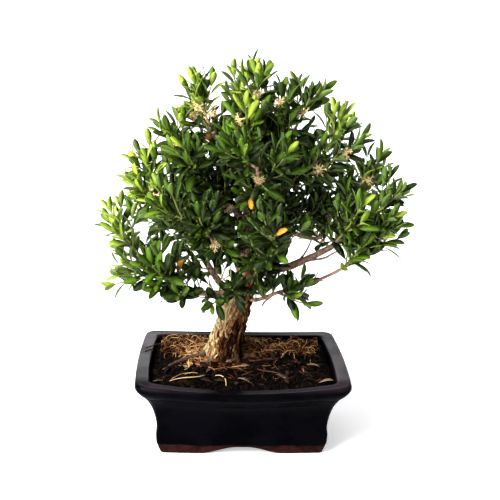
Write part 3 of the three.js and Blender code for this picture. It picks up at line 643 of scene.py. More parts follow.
class Shell:
    """Gathers closed tubes and slabs, in millimetres, into one mesh with a thickness at each point."""

    def __init__(self):
        self.points = []
        self.faces = []
        self.thickness = []

    def loft(self, rings, thickness):
        """A skin over rings of as many points each, closed at both ends round a middle point."""
        sides = len(rings[0])
        start = len(self.points)
        for ring, thick in zip(rings, thickness):
            self.points.extend(ring)
            self.thickness.extend([thick] * sides)
        self.faces.extend(skin_faces(len(rings), sides, start))
        last = start + (len(rings) - 1) * sides
        for ring, first, flip in ((rings[0], start, True), (rings[-1], last, False)):
            middle = len(self.points)
            self.points.append(sum((Vector(p) for p in ring), Vector()) / sides)
            self.thickness.append(thickness[0 if flip else -1])
            for k in range(sides):
                a, b = first + k, first + (k + 1) % sides
                self.faces.append((b, a, middle) if flip else (a, b, middle))

    def to_object(self, name, material):
        mesh = bpy.data.meshes.new(name)
        mesh.from_pydata([place(p) for p in self.points], [], self.faces)
        mesh.attributes.new("thickness", "FLOAT", "POINT").data.foreach_set("value", self.thickness)
        mesh.shade_smooth()
        mesh.materials.append(material)
        mesh.validate()
        face_outwards(mesh)
        return make_object(name, mesh)


def tube_rings(line, sides, shape):
    """Rings square to a line, whose radius shape gives from the row, the turn and the row's number."""
    rings = []
    normal = None
    for i, row in enumerate(line):
        before, after = line[max(i - 1, 0)], line[min(i + 1, len(line) - 1)]
        heading = (Vector(after[:3]) - Vector(before[:3])).normalized()
        normal = square_to(heading, sides_of(heading)[0] if normal is None else normal)
        other = heading.cross(normal)
        at = Vector(row[:3])
        rings.append([at + turned(normal, other, turn) * shape(row, turn, i) for turn in turns(sides)])
    return rings


def own_radius(row, turn, i):
    return row[3]


# Node trees


class Value:
    """A number from a shader socket, on which Python's arithmetic adds Math nodes."""

    def __init__(self, nodes, socket):
        self.nodes = nodes
        self.socket = socket

    def math(self, operation, *others, clamp=False):
        inputs = dict(enumerate((self, *others)))
        node = self.nodes.add("ShaderNodeMath", {"operation": operation, "use_clamp": clamp}, inputs)
        return Value(self.nodes, node.outputs[0])

    def __add__(self, other):
        return self.math("ADD", other)

    __radd__ = __add__

    def __mul__(self, other):
        return self.math("MULTIPLY", other)

    __rmul__ = __mul__

    def __sub__(self, other):
        return self.math("SUBTRACT", other)

    def __rsub__(self, other):
        return (self * -1) + other

    def __pow__(self, other):
        return self.math("POWER", other)

    def clamped(self):
        return self.math("ADD", 0.0, clamp=True)

    def between(self, low, high):
        """0 below low, 1 above high and smooth between."""
        settings = {"interpolation_type": "SMOOTHSTEP"}
        inputs = {"Value": self, "From Min": low, "From Max": high}
        return Value(self.nodes, self.nodes.add("ShaderNodeMapRange", settings, inputs).outputs["Result"])


class Nodes:
    """Adds nodes to a tree: a node's type, its settings, and the values or links of its sockets."""

    def __init__(self, tree):
        self.tree = tree

    def add(self, kind, settings=None, inputs=None):
        node = self.tree.nodes.new(kind)
        for name, value in (settings or {}).items():
            setattr(node, name, value)
        for key, value in (inputs or {}).items():
            if isinstance(value, Value):
                self.tree.links.new(value.socket, node.inputs[key])
            elif isinstance(value, bpy.types.NodeSocket):
                self.tree.links.new(value, node.inputs[key])
            else:
                node.inputs[key].default_value = value
        return node


class Finish:
    """A material under construction."""

    def __init__(self, name, **constants):
        self.material = bpy.data.materials.new(name)
        self.material.use_nodes = True
        self.nodes = Nodes(self.material.node_tree)
        self.material.node_tree.nodes.clear()
        self.shader = self.nodes.add("ShaderNodeBsdfPrincipled", None, constants)
        self.nodes.add("ShaderNodeOutputMaterial", None, {"Surface": self.shader.outputs[0]})
        self.where = self.nodes.add("ShaderNodeTexCoord").outputs["Object"]

    def value(self, kind, settings, inputs, output):
        return Value(self.nodes, self.nodes.add(kind, settings, inputs).outputs[output])

    def stretched(self, scale):
        """The place on the object with each axis scaled."""
        return self.nodes.add("ShaderNodeMapping", None, {"Vector": self.where, "Scale": scale}).outputs[0]

    def part(self, vector, index):
        return self.value("ShaderNodeSeparateXYZ", None, {0: vector}, index)

    def axis(self, index):
        """The place on the object along x, y or z, in metres."""
        return self.part(self.where, index)

    def cloud(self, scale, detail=3.0, roughness=0.55, vector=None):
        inputs = {"Vector": vector or self.where, "Scale": scale, "Detail": detail, "Roughness": roughness}
        return self.value("ShaderNodeTexNoise", None, inputs, 0)

    def cells(self, scale, vector=None):
        inputs = {"Vector": vector or self.where, "Scale": scale}
        return self.value("ShaderNodeTexVoronoi", {"feature": "F1"}, inputs, "Distance")

    def attribute(self, name):
        return self.value("ShaderNodeAttribute", {"attribute_name": name}, None, "Fac")

    def blend(self, share, a, b):
        inputs = {0: share}
        for key, colour in ((6, a), (7, b)):
            inputs[key] = colour if isinstance(colour, bpy.types.NodeSocket) else (*colour, 1)
        return self.nodes.add("ShaderNodeMix", {"data_type": "RGBA"}, inputs).outputs[2]

    def feed(self, **sources):
        """Link a colour or values to the shader's sockets, with _ for a space in their names."""
        for name, source in sources.items():
            link_from = source.socket if isinstance(source, Value) else source
            self.nodes.tree.links.new(link_from, self.shader.inputs[name.replace("_", " ")])

    def relief(self, height, depth):
        inputs = {"Height": height, "Distance": depth, "Strength": 1.0}
        self.feed(Normal=self.nodes.add("ShaderNodeBump", None, inputs).outputs[0])


# Finishes, with scales in features for each metre and depths in metres


def glaze_finish(settings):
    """Glossy glaze that is satin on top of the rim, with a painted reflection there, its coat thinned in
    front and at the right as painted shade, and bare clay at the foot.
    """
    finish = Finish("glaze_and_clay", **{"Coat Roughness": 0.1, "IOR": 1.5, "Specular IOR Level": 0.005})
    height = finish.axis(2)
    wander = finish.cloud(55, 3)
    pooled = finish.cloud(24, 4, 0.6)
    drip = (wander - 0.5) * 0.008
    glazed = (height + drip).between((GLAZE_EDGE - 0.4) * MM, (GLAZE_EDGE + 0.4) * MM)
    on_top = height.between(0.0725, 0.0775)
    body = finish.blend(pooled.between(0.42, 0.6), settings.glaze, tinted(settings.glaze, 2.2))
    # Painted reflection: the top of the rim takes the paler rim sheen colour, in mottled patches.
    body = finish.blend(on_top * pooled.between(0.36, 0.56), body, settings.rim_sheen)
    sandy = finish.cloud(160, 5).between(0.3, 0.7)
    clay = finish.blend(sandy, settings.clay, tinted(settings.clay, 0.45))
    gloss = 0.2 + on_top * 0.16 + pooled.between(0.4, 0.6) * 0.1
    # Painted shade: the rim's coat, and with it its reflection, is thinned in front and at the right.
    in_front = (finish.axis(1) * -1).between(0.05, 0.068)
    at_right = finish.axis(0).between(0.06, 0.09)
    painted_shade_on_coat = (1 - in_front * 0.88) * (1 - at_right * 0.35)
    coat = on_top * painted_shade_on_coat * (0.26 + pooled.between(0.4, 0.58) * 0.16) + glazed * 0.002
    finish.feed(
        Base_Color=finish.blend(glazed, clay, body),
        Roughness=0.85 - glazed * (0.85 - gloss),
        Coat_Weight=coat,
    )
    pinholes = finish.cells(420).between(0.0, 0.25) * 0.1
    grain = finish.cloud(900, 4) * (1 - glazed) * 0.5
    finish.relief(wander * 0.35 + finish.cloud(210, 2) * 0.12 + pinholes + grain, 0.0012)
    return finish.material


def soil_finish(settings):
    finish = Finish("moist_soil", **{"Specular IOR Level": 0.02})
    crumbs = finish.cells(520)
    patches = finish.cloud(70, 5, 0.65)
    fine = finish.cloud(1400, 4, 0.7)
    dark = finish.blend(patches.between(0.48, 0.62), settings.dark, settings.brown)
    finish.feed(
        Base_Color=finish.blend(fine.between(0.35, 0.8), dark, tinted(settings.dark, 0.4)),
        Roughness=0.72 + fine * 0.25,
    )
    finish.relief(crumbs * 1.2 + fine * 0.8, 0.0012)
    return finish.material


def bark_finish(settings):
    """Corky plates with dark cracks on thick wood, brown on the sides that face right as painted shade, and
    ringed grey-brown twigs, painted paler at the left as painted light.
    """
    finish = Finish("flaky_bark", **{"Specular IOR Level": 0.25})
    thick = finish.attribute("thickness").between(5, 11)
    fibres = finish.cloud(760, 5, 0.65, finish.stretched((1, 1, 0.13)))
    plates = finish.cells(170, finish.stretched((1, 1, 0.38)))
    blotches = finish.cloud(46, 4, 0.6)
    facing_right = finish.part(finish.nodes.add("ShaderNodeNewGeometry").outputs["Normal"], 0)
    shaded = (facing_right * 0.3 + blotches).between(0.34, 0.54)
    corky = finish.blend(fibres.between(0.45, 0.6), settings.tan, tinted(settings.tan, 1.35))
    corky = finish.blend(shaded, corky, settings.brown)
    corky = finish.blend((1 - plates.between(0.05, 0.22)) * 0.5, corky, settings.fissure)
    corky = finish.blend((1 - fibres.between(0.4, 0.5)) * 0.9, corky, settings.fissure)
    # Painted light: twigs left of the trunk are paler.
    at_right = finish.axis(0).between(-0.004, 0.03)
    twig = finish.blend(at_right, tinted(settings.twig, 2.1), settings.twig)
    rings = finish.cloud(300, 4).between(0.42, 0.58)
    ringed = finish.blend(rings, twig, tinted(settings.twig, 0.45))
    ringed = finish.blend(blotches.between(0.5, 0.62) * 0.6, ringed, tinted(settings.twig, 1.7))
    # Darker towards the soil, below about 85 mm, with uneven edges.
    darker_low_down = 1 - (finish.axis(2) + (blotches - 0.5) * 0.06).between(0.074, 0.096)
    finish.feed(
        Base_Color=finish.blend(darker_low_down * 0.85, finish.blend(thick, ringed, corky), settings.fissure),
        Roughness=0.7 + fibres * 0.25,
    )
    finish.relief(fibres * (0.3 + thick * 0.9) + plates * thick * 0.5, 0.0016)
    return finish.material


def leaf_finish(settings):
    """A glossy upper face from old to young by its tone, which also carries painted light and shade, with a
    rib and veins, and a pale lower face.
    """
    finish = Finish("leaf", **{"Specular IOR Level": 0.18, "IOR": 1.45})
    tone = finish.attribute("tone")
    chart = finish.nodes.add("ShaderNodeUVMap", {"uv_map": "leaf_chart"}).outputs[0]
    across, along = finish.part(chart, 0), finish.part(chart, 1)
    below = across.between(1.4, 1.6)
    from_rib = (across - 0.5 - below * 2).math("ABSOLUTE")
    rib = 1 - from_rib.between(0.02, 0.07)
    veins = ((along * 15 - from_rib * 9).math("SINE") * 0.5 + 0.5) ** 3
    patch = finish.cloud(60, 2)
    shade = (tone + (patch - 0.5) * 0.22).clamped()
    upper = finish.blend(shade.between(0.08, 0.5), settings.old, settings.mature)
    upper = finish.blend(shade.between(0.5, 0.95), upper, settings.young)
    upper = finish.blend(rib * 0.09 + veins * 0.04, upper, settings.young)
    upper = finish.blend(along.between(0.9, 1.0) * 0.25, upper, settings.young)
    upper = finish.blend(tone.between(1.1, 1.3), upper, settings.withered)
    lower = finish.blend(tone.between(0.0, 0.5), tinted(settings.underside, 0.4), settings.underside)
    lower = finish.blend(tone.between(0.5, 1.0) * 0.6, lower, settings.young)
    finish.feed(Base_Color=finish.blend(below, upper, lower), Roughness=0.34 + below * 0.3 + patch * 0.12)
    finish.relief(rib * 0.5 + veins * 0.25, 0.0004)
    return finish.material


def stem_finish(settings):
    finish = Finish("green_stem", **{"Specular IOR Level": 0.4})
    streaks = finish.cloud(500, 3, 0.6, finish.stretched((1, 1, 0.3)))
    finish.feed(
        Base_Color=finish.blend(streaks.between(0.3, 0.7), settings.stem, tinted(settings.stem, 0.5)),
        Roughness=0.45 + streaks * 0.3,
    )
    finish.relief(streaks, 0.0003)
    return finish.material


def toned_finish(name, low, middle, high, scale, depth):
    """Loose or dry pieces whose colour goes from low to high with their own tone."""
    finish = Finish(name, **{"Specular IOR Level": 0.04})
    grain = finish.cloud(scale, 4, 0.65)
    shade = (finish.attribute("tone") + (grain - 0.5) * 0.3).clamped()
    darker = finish.blend(shade.between(0.0, 0.5), low, middle)
    finish.feed(Base_Color=finish.blend(shade.between(0.5, 1.0), darker, high), Roughness=0.6 + grain * 0.3)
    finish.relief(grain, depth)
    return finish.material


def dry_finish(name):
    return toned_finish(name, *DRY_TONES[name])


def plain_finish(name, colour, roughness, scale, depth):
    """One colour with a fine grain."""
    finish = Finish(name)
    grain = finish.cloud(scale, 4)
    finish.feed(
        Base_Color=finish.blend(grain.between(0.3, 0.7), colour, tinted(colour, 0.75)),
        Roughness=grain * 0.2 + (roughness - 0.1),
    )
    finish.relief(grain, depth)
    return finish.material


# Geometry trees


def new_tree(name, sockets):
    """A geometry tree with named inputs, its node maker, its input sockets and its output socket."""
    tree = bpy.data.node_groups.new(name, "GeometryNodeTree")
    tree.is_modifier = True
    tree.interface.new_socket("Geometry", in_out="OUTPUT", socket_type="NodeSocketGeometry")
    for label, kind in (("Geometry", "Geometry"), *sockets):
        tree.interface.new_socket(label, in_out="INPUT", socket_type="NodeSocket" + kind)
    nodes = Nodes(tree)
    return tree, nodes, nodes.add("NodeGroupInput").outputs, nodes.add("NodeGroupOutput").inputs[0]


def random_between(nodes, low, high, seed):
    """A random number or vector for each point."""
    kind, first, output = ("FLOAT_VECTOR", 0, 0) if isinstance(low, tuple) else ("FLOAT", 2, 1)
    inputs = {first: low, first + 1: high, "Seed": seed}
    return nodes.add("FunctionNodeRandomValue", {"data_type": kind}, inputs).outputs[output]


def times(nodes, vector, number):
    inputs = {0: vector, "Scale": number}
    return nodes.add("ShaderNodeVectorMath", {"operation": "SCALE"}, inputs).outputs[0]


def with_material(nodes, geometry, material):
    inputs = {0: geometry, "Material": material}
    return nodes.add("GeometryNodeSetMaterial", None, inputs).outputs[0]


def copies_on(nodes, points, template, rotation, scale, material):
    """Real copies of an object on points, with a material."""
    shape = nodes.add("GeometryNodeObjectInfo", None, {0: template}).outputs["Geometry"]
    inputs = {0: points, "Instance": shape, "Rotation": rotation, "Scale": scale}
    copies = nodes.add("GeometryNodeInstanceOnPoints", None, inputs)
    real = nodes.add("GeometryNodeRealizeInstances", None, {0: copies.outputs[0]})
    return with_material(nodes, real.outputs[0], material)


def growth_tree():
    """Round stems along the edges, and a leaf, floret or twig on each point marked is_leaf."""
    tree, nodes, given, out = new_tree("Stems and Leaves", (
        ("Leaf", "Object"),
        ("Stem Sides", "Int"),
        ("Variation", "Float"),
        ("Seed", "Int"),
        ("Leaf Finish", "Material"),
        ("Stem Finish", "Material"),
    ))

    def named(name, kind):
        return nodes.add("GeometryNodeInputNamedAttribute", {"data_type": kind}, {"Name": name}).outputs[0]

    parts = nodes.add("GeometryNodeSeparateGeometry", {"domain": "POINT"}, {
        0: given["Geometry"], 1: named("is_leaf", "BOOLEAN")
    })
    line = nodes.add("GeometryNodeMeshToCurve", None, {0: parts.outputs[1]})
    ring = nodes.add("GeometryNodeCurvePrimitiveCircle", None, {
        "Resolution": given["Stem Sides"], "Radius": 1.0
    })
    stems = nodes.add("GeometryNodeCurveToMesh", None, {
        0: line.outputs[0], 1: ring.outputs[0], "Scale": named("thickness", "FLOAT"), "Fill Caps": True
    })
    share = nodes.add("ShaderNodeMath", {"operation": "MULTIPLY_ADD"}, {
        0: random_between(nodes, -1.0, 1.0, given["Seed"]), 1: given["Variation"], 2: 1.0
    })
    size = times(nodes, named("size", "FLOAT_VECTOR"), share.outputs[0])
    turn = named("turn", "QUATERNION")
    leaves = copies_on(nodes, parts.outputs[0], given["Leaf"], turn, size, given["Leaf Finish"])
    both = nodes.add("GeometryNodeJoinGeometry")
    tree.links.new(with_material(nodes, stems.outputs[0], given["Stem Finish"]), both.inputs[0])
    tree.links.new(leaves, both.inputs[0])
    tree.links.new(both.outputs[0], out)
    return tree


def scatter_tree():
    """Loose crumbs of random size, turn and tone on a surface."""
    tree, nodes, given, out = new_tree("Scattered Crumbs", (
        ("Crumb", "Object"),
        ("Density", "Float"),
        ("Smallest", "Float"),
        ("Largest", "Float"),
        ("Seed", "Int"),
        ("Finish", "Material"),
    ))
    seed = given["Seed"]
    points = nodes.add("GeometryNodeDistributePointsOnFaces", None, {
        0: given["Geometry"], "Density": given["Density"], "Seed": seed
    })
    toned = nodes.add("GeometryNodeStoreNamedAttribute", {"data_type": "FLOAT", "domain": "POINT"}, {
        0: points.outputs[0], "Name": "tone", "Value": random_between(nodes, 0.0, 1.0, seed)
    })
    turn = random_between(nodes, (0.0, 0.0, 0.0), (6.3, 6.3, 6.3), seed)
    flattened = random_between(nodes, (0.5, 0.7, 0.35), (1.0, 1.6, 0.8), seed)
    size = times(nodes, flattened, random_between(nodes, given["Smallest"], given["Largest"], seed))
    crumbs = copies_on(nodes, toned.outputs[0], given["Crumb"], turn, size, given["Finish"])
    tree.links.new(crumbs, out)
    return tree


def evaluated_mesh(piece):
    """The piece's mesh with its modifiers applied."""
    bpy.context.view_layer.update()
    graph = bpy.context.evaluated_depsgraph_get()
    return bpy.data.meshes.new_from_object(piece.evaluated_get(graph), depsgraph=graph)


def run_tree(piece, tree, values):
    """The piece's mesh is replaced by what the tree makes of it."""
    modifier = piece.modifiers.new(tree.name, "NODES")
    modifier.node_group = tree
    for item in tree.interface.items_tree:
        if item.in_out == "INPUT" and item.name in values:
            modifier[item.identifier] = values[item.name]
    piece.update_tag()
    made = evaluated_mesh(piece)
    piece.modifiers.remove(modifier)
    before = piece.data
    piece.data = made
    bpy.data.meshes.remove(before)
    if not made.polygons:
        raise RuntimeError(f"{piece.name} came out empty")
    made.name = piece.name
    made.shade_smooth()


class Growth:
    """Gathers stems, and leaves or florets, in millimetres, for the growth tree."""

    def __init__(self):
        self.points = []
        self.edges = []
        self.thickness = []
        self.tones = []
        self.leaves = []

    def stem(self, line, radii, tone=0.4):
        start = len(self.points)
        self.points.extend(place(p) for p in line)
        self.thickness.extend(r * MM for r in radii)
        self.tones.extend([tone] * len(line))
        self.edges.extend((start + i, start + i + 1) for i in range(len(line) - 1))

    def leaf(self, at, direction, normal, length, width, tone):
        normal = square_to(direction, normal)
        side = direction.cross(normal)
        turn = Matrix((side, direction, normal)).transposed().to_quaternion()
        self.leaves.append((place(at), tuple(turn), (width * MM, length * MM, length * MM), tone))

    def to_object(self, name):
        """A mesh of bare edges and points, with what the growth tree reads as attributes."""
        mesh = bpy.data.meshes.new(name)
        stems, leaves = len(self.points), len(self.leaves)
        mesh.from_pydata(self.points + [leaf[0] for leaf in self.leaves], self.edges, [])
        rotations = [(1.0, 0.0, 0.0, 0.0)] * stems + [leaf[1] for leaf in self.leaves]
        sizes = [(0.0, 0.0, 0.0)] * stems + [leaf[2] for leaf in self.leaves]
        for label, kind, field, numbers in (
            ("is_leaf", "BOOLEAN", "value", [False] * stems + [True] * leaves),
            ("thickness", "FLOAT", "value", self.thickness + [0.0] * leaves),
            ("turn", "QUATERNION", "value", [v for row in rotations for v in row]),
            ("size", "FLOAT_VECTOR", "vector", [v for row in sizes for v in row]),
            ("tone", "FLOAT", "value", self.tones + [leaf[3] for leaf in self.leaves]),
        ):
            mesh.attributes.new(label, kind, "POINT").data.foreach_set(field, numbers)
        return make_object(name, mesh)


def grow(growth, name, template, leaf_material, stem_material, sides=6, variation=0.0, seed=0):
    """A finished piece from what a Growth has gathered."""
    piece = growth.to_object(name)
    tree = bpy.data.node_groups.get("Stems and Leaves") or growth_tree()
    run_tree(piece, tree, {
        "Leaf": template,
        "Stem Sides": sides,
        "Variation": variation,
        "Seed": seed,
        "Leaf Finish": leaf_material,
        "Stem Finish": stem_material,
    })
    return piece


# Shapes that are repeated


def leaf_template(name, stations, fold, arch, thickness, curl):
    """A closed leaf one unit long and wide, from its half width at each share of its length."""
    sides = 4
    points = []
    for share, half in stations:
        lift = arch * math.sin(math.pi * share) - curl * share**3
        thick = thickness * (0.35 + 0.65 * min(1.0, half / 0.3))
        points.extend([
            (-half / 2, share, lift + fold * half),
            (0, share, lift + thick / 2),
            (half / 2, share, lift + fold * half),
            (0, share, lift - thick / 2),
        ])
    last = (len(stations) - 1) * sides
    skin = skin_faces(len(stations), sides)
    mesh = bpy.data.meshes.new(name)
    mesh.from_pydata(points, [], [*skin, (3, 2, 1, 0), (last, last + 1, last + 2, last + 3)])
    # The chart has the place across and along the leaf, with 2 added to the one across on the lower face.
    columns = (0.0, 0.5, 1.0, 0.5)
    charts = []
    for i, face in enumerate(skin):
        below = 0.0 if i % sides < 2 else 2.0
        charts.append([(columns[v % sides] + below, stations[v // sides][0]) for v in face])
    charts += [[(0.5, 0.0)] * sides, [(0.5, 1.0)] * sides]
    layer = mesh.uv_layers.new(name="leaf_chart")
    for polygon, chart in zip(mesh.polygons, charts):
        for loop, uv in zip(polygon.loop_indices, chart):
            layer.data[loop].uv = uv
    mesh.shade_smooth()
    return make_object(name, mesh)


def crumb_template(name, seed):
    """A rough closed crumb one unit across."""
    tool = bmesh.new()
    bmesh.ops.create_icosphere(tool, subdivisions=1, radius=0.5)
    for vertex in tool.verts:
        vertex.co *= 1 + 0.55 * noise.noise(vertex.co * 3.1 + Vector((seed, 0, 0)))
    mesh = bpy.data.meshes.new(name)
    tool.to_mesh(mesh)
    tool.free()
    return make_object(name, mesh)


def floret_template(name):
    """A dry floret one unit long: narrow petals that open from a short tube along +Y."""
    points = []
    faces = []
    sides = 4
    for turn in turns(PETALS):
        out = Vector((math.cos(turn), 0, math.sin(turn)))
        side = Vector((-math.sin(turn), 0, math.cos(turn)))
        thick = (Vector((0, 1, 0)) * 0.6 - out * 0.8) * 0.035
        start = len(points)
        last = start + (len(PETAL_STATIONS) - 1) * sides
        for share, reach, half in PETAL_STATIONS:
            middle = out * reach + Vector((0, share, 0))
            points.extend([middle + side * half, middle + thick, middle - side * half, middle - thick])
        faces += skin_faces(len(PETAL_STATIONS), sides, start)
        faces += [(start + 3, start + 2, start + 1, start), (last, last + 1, last + 2, last + 3)]
    mesh = bpy.data.meshes.new(name)
    mesh.from_pydata(points, [], faces)
    face_outwards(mesh)
    return make_object(name, mesh)


def drop(template):
    """Remove an object that was only a pattern or a tool, with its mesh."""
    mesh = template.data
    bpy.data.objects.remove(template)
    bpy.data.meshes.remove(mesh)


# The pot's and the soil's shapes


def pot_outline(settings, height, inset, bow, per_corner=7, per_long=31, per_short=21):
    """A level outline of the pot: a rectangle with round corners whose sides bow outwards."""
    half_length = settings.half_length / MM - inset
    half_depth = settings.half_depth / MM - inset
    radius = max(CORNER_RADIUS - inset * CORNER_SHRINK, SMALLEST_CORNER_RADIUS)
    dip = settings.rim_dip / MM * smoothstep(height, *DIPPED_BETWEEN)
    plan = []
    for corner, (sx, sy) in enumerate(((1, -1), (1, 1), (-1, 1), (-1, -1))):
        centre_x = sx * (half_length - radius)
        centre_y = sy * (half_depth - radius)
        for step in spread(per_corner, 0, 90):
            turn = math.radians(90 * (corner - 1) + step)
            plan.append((centre_x + radius * math.cos(turn), centre_y + radius * math.sin(turn)))
        along_short = corner % 2 == 0
        count = per_short if along_short else per_long
        for k in range(1, count + 1):
            reach = 1 - 2 * k / (count + 1)
            if along_short:
                plan.append((sx * half_length, -sx * reach * (half_depth - radius)))
            else:
                plan.append((sx * reach * (half_length - radius), sy * half_depth))
    outline = []
    for x, y in plan:
        across_x = 1 - (x / half_length) ** 2
        across_y = 1 - (y / half_depth) ** 2
        bowed_x = x + math.copysign(SHORT_SIDE_BOW * bow * across_y * (abs(x) / half_length) ** 4, x)
        bowed_y = y + math.copysign(LONG_SIDE_BOW * bow * across_x * (abs(y) / half_depth) ** 4, y)
        outline.append(Vector((bowed_x, bowed_y, height - dip * across_x)))
    return outline


def bow_at(height):
    """How much of the rim's bow the wall has at a height."""
    return BOW_AT_FOOT + (1 - BOW_AT_FOOT) * smoothstep(height, *BOWED_BETWEEN)


def arch_at(point, settings):
    """How high the underside of the foot is lifted between the corners."""
    on_long_side = abs(point.y) / settings.half_depth > abs(point.x) / settings.half_length
    reach, half = (point.x, LONG_ARCH_HALF_WIDTH) if on_long_side else (point.y, SHORT_ARCH_HALF_WIDTH)
    share = abs(reach) / half
    return ARCH_HEIGHT * (1 - smoothstep(share, 0.12, 1.0)) if share < 1 else 0.0


def trunk_at(height):
    """The trunk's middle and radius at a height, as x, y, z and radius."""
    for low, high in zip(TRUNK, TRUNK[1:]):
        if height <= high[2]:
            break
    share = (height - low[2]) / (high[2] - low[2])
    return [mix(a, b, share) for a, b in zip(low, high)]


def beside_trunk(way, out):
    """A place on the soil at a heading and distance from the trunk's foot, as x and y."""
    return FOOT_OF_TRUNK.x + math.cos(way) * out, FOOT_OF_TRUNK.y + math.sin(way) * out


def soil_height(x, y):
    from_trunk = math.hypot(x - FOOT_OF_TRUNK.x, y - FOOT_OF_TRUNK.y)
    mound = MOUND_HEIGHT * math.exp(-((from_trunk / MOUND_SPREAD) ** 2))
    bumps = 0.7 * math.sin(x * 0.1 + 1.3) * math.cos(y * 0.12) + 0.5 * math.sin(x * 0.07 - y * 0.11)
    return SOIL_LEVEL + mound + bumps + 3 * smoothstep(y, 8, 46)


# The shoots' curves and leaves


class Shoot:
    """The curve that a shoot follows: a woody twig out of its branch, then a leafy stem up to its tip."""

    def __init__(self, start, furthest, order):
        reach = (furthest - start).length
        self.length = reach - LEAF_REACH
        self.start = start
        self.tip = start.lerp(furthest, 1 - LEAF_REACH / reach)
        self.bend = start.lerp(self.tip, 0.52)
        self.bend.z -= SHOOT_SAG * self.length
        self.green_from = max(1 - SHOOT_LENGTH / self.length, 8 / self.length)
        self.draw = seeded_draws(100 + order)
        heading = (self.at(1) - self.at(self.green_from)).normalized()
        level, steep = sides_of(heading)
        self.reference = turned(level, steep, self.draw() * math.pi)

    def at(self, t):
        """The place at a share of the whole shoot, its woody twig too."""
        return self.start * (1 - t) ** 2 + self.bend * (2 * t * (1 - t)) + self.tip * t**2

    def green(self, u):
        """The place at a share of the leafy stem."""
        return self.at(self.green_from + (1 - self.green_from) * u)

    def frame(self, u):
        """The place at a share of the leafy stem, the stem's heading and two directions square to it."""
        heading = (self.green(min(u + 0.05, 1)) - self.green(min(u, 0.95) - 0.05)).normalized()
        first = square_to(heading, self.reference)
        return self.green(u), heading, first, heading.cross(first)


def branch_point(branch, index):
    return Vector((TRUNK if branch == "trunk" else BRANCHES[branch][2])[index][:3])


def named_shoots():
    return {
        name: Shoot(branch_point(branch, index), Vector(furthest), order)
        for order, (name, (branch, index, furthest)) in enumerate(SHOOTS.items())
    }


def how_far_out(point, middle, reach):
    """How far out a point is, where 0 is the middle and 1 the reach in x, y and z."""
    return Vector([(point[i] - middle[i]) / reach[i] for i in range(3)]).length


def in_crown(point):
    """Whether a leaf may stand there: inside the outline and clear of the open spaces under the crown."""
    x, y, z = point
    top = OPEN_AT_RIGHT_TOP - OPEN_AT_RIGHT_SLOPE * abs(x - OPEN_AT_RIGHT_MIDDLE)
    open_at_right = lies_in(x, OPEN_AT_RIGHT) and z < top
    over_limbs = lies_in(x, BARE_LIMBS) and z < BARE_LIMBS_TOP and y < BARE_LIMBS_BACK
    right_of_trunk = lies_in(x, LOW_LEAVES_X) and lies_in(z, LOW_LEAVES_Z)
    lowest = CROWN_BOTTOM + CROWN_BOTTOM_RISE * max(0, x - CROWN_BOTTOM_RISES_FROM)
    inside = z > lowest and how_far_out(point, CROWN_MIDDLE, CROWN_REACH) < 0.97
    return right_of_trunk or inside and not open_at_right and not over_limbs


def flower_seat(shoots, spot):
    """Where a flower stands on its shoot's stem, and which way it looks."""
    name, u, side = spot
    at, heading, _, _ = shoots[name].frame(u)
    outward = square_to(heading, Vector(side))
    return at + outward * (STEM_BASE_RADIUS * 0.8), outward


@lru_cache(maxsize=None)
def lines_of_sight():
    """The gaps, those in front of the flowers too, each with its way to where the photograph was taken."""
    shoots = named_shoots()
    gaps = [(Vector(middle), *sizes) for middle, *sizes in GAPS]
    spots = [(spot, FLOWER_GAP) for spot in (*FLOWERS.values(), *MORE_FLOWERS)]
    for spot, sizes in (*spots, (CAPSULE, CAPSULE_GAP)):
        seat, outward = flower_seat(shoots, spot)
        gaps.append((seat + outward * FLOWER_STALK, *sizes))
    return [(middle, (Vector(CAMERA_PLACE) - middle).normalized(), *sizes) for middle, *sizes in gaps]


def in_a_gap(point):
    for middle, toward, radius, front, behind in lines_of_sight():
        along = (point - middle).dot(toward)
        if -behind <= along <= front and (point - middle - toward * along).length < radius:
            return True
    return False


def light_on(point):
    """How much painted light a leaf there gets, from 0 deep in the crown to 1 at the top left."""
    height = smoothstep(point.z, 150, 350)
    outer = smoothstep(how_far_out(point, LIGHT_MIDDLE, LIGHT_REACH), 0.4, 0.98)
    return min(1.0, outer * (0.74 + 0.26 * height - point.x / 750))


def leaf_tone(at, direction, age, brightness, draw):
    """A leaf's tone, partly painted light and shade: near 1 if young or in the light, near 0 if old or in the
    crown's shade, above 1 if withered.
    """
    light = max(light_on(at + direction * 12), brightness * 0.7)
    # Painted light and shade: brighter at the upper left, where the light falls, and darker in the crown's
    # middle.
    sunlit = 1 + 0.8 * smoothstep(-at.x, 40, 95) * smoothstep(at.z, 190, 235)
    inside = 1 - smoothstep(math.hypot(at.x - CROWN_MIDDLE.x, at.z - CROWN_MIDDLE.z), 45, 105)
    tone = mix(1.0, mix(0.1, 0.72, brightness), age) * mix(0.25, 1.0, brightness) * mix(0.4, 1.0, light)
    tone = min(1.0, tone * sunlit * mix(1.0, 0.4, inside * age) * mix(0.15, 1.62, draw()))
    withered = brightness < 0.4 and draw() < WITHERED_SHARE
    return WITHERED_TONE if withered else tone


def length_that_fits(at, direction, length):
    """A leaf's length, cut down where its tip would leave the solids' box."""
    for axis in range(3):
        edge = LEAF_LIMITS[direction[axis] > 0][axis]
        if abs(direction[axis]) > 0.05:
            length = min(length, (edge - at[axis]) / direction[axis])
    return max(length, SHORTEST_LEAF)


def on_line(line, steps, distance):
    """The place and heading at a distance along a line with steps of the given lengths."""
    i = 0
    while i < len(steps) - 1 and distance > steps[i]:
        distance -= steps[i]
        i += 1
    before, after = Vector(line[i]), Vector(line[i + 1])
    return before.lerp(after, min(1.0, distance / steps[i])), (after - before).normalized()


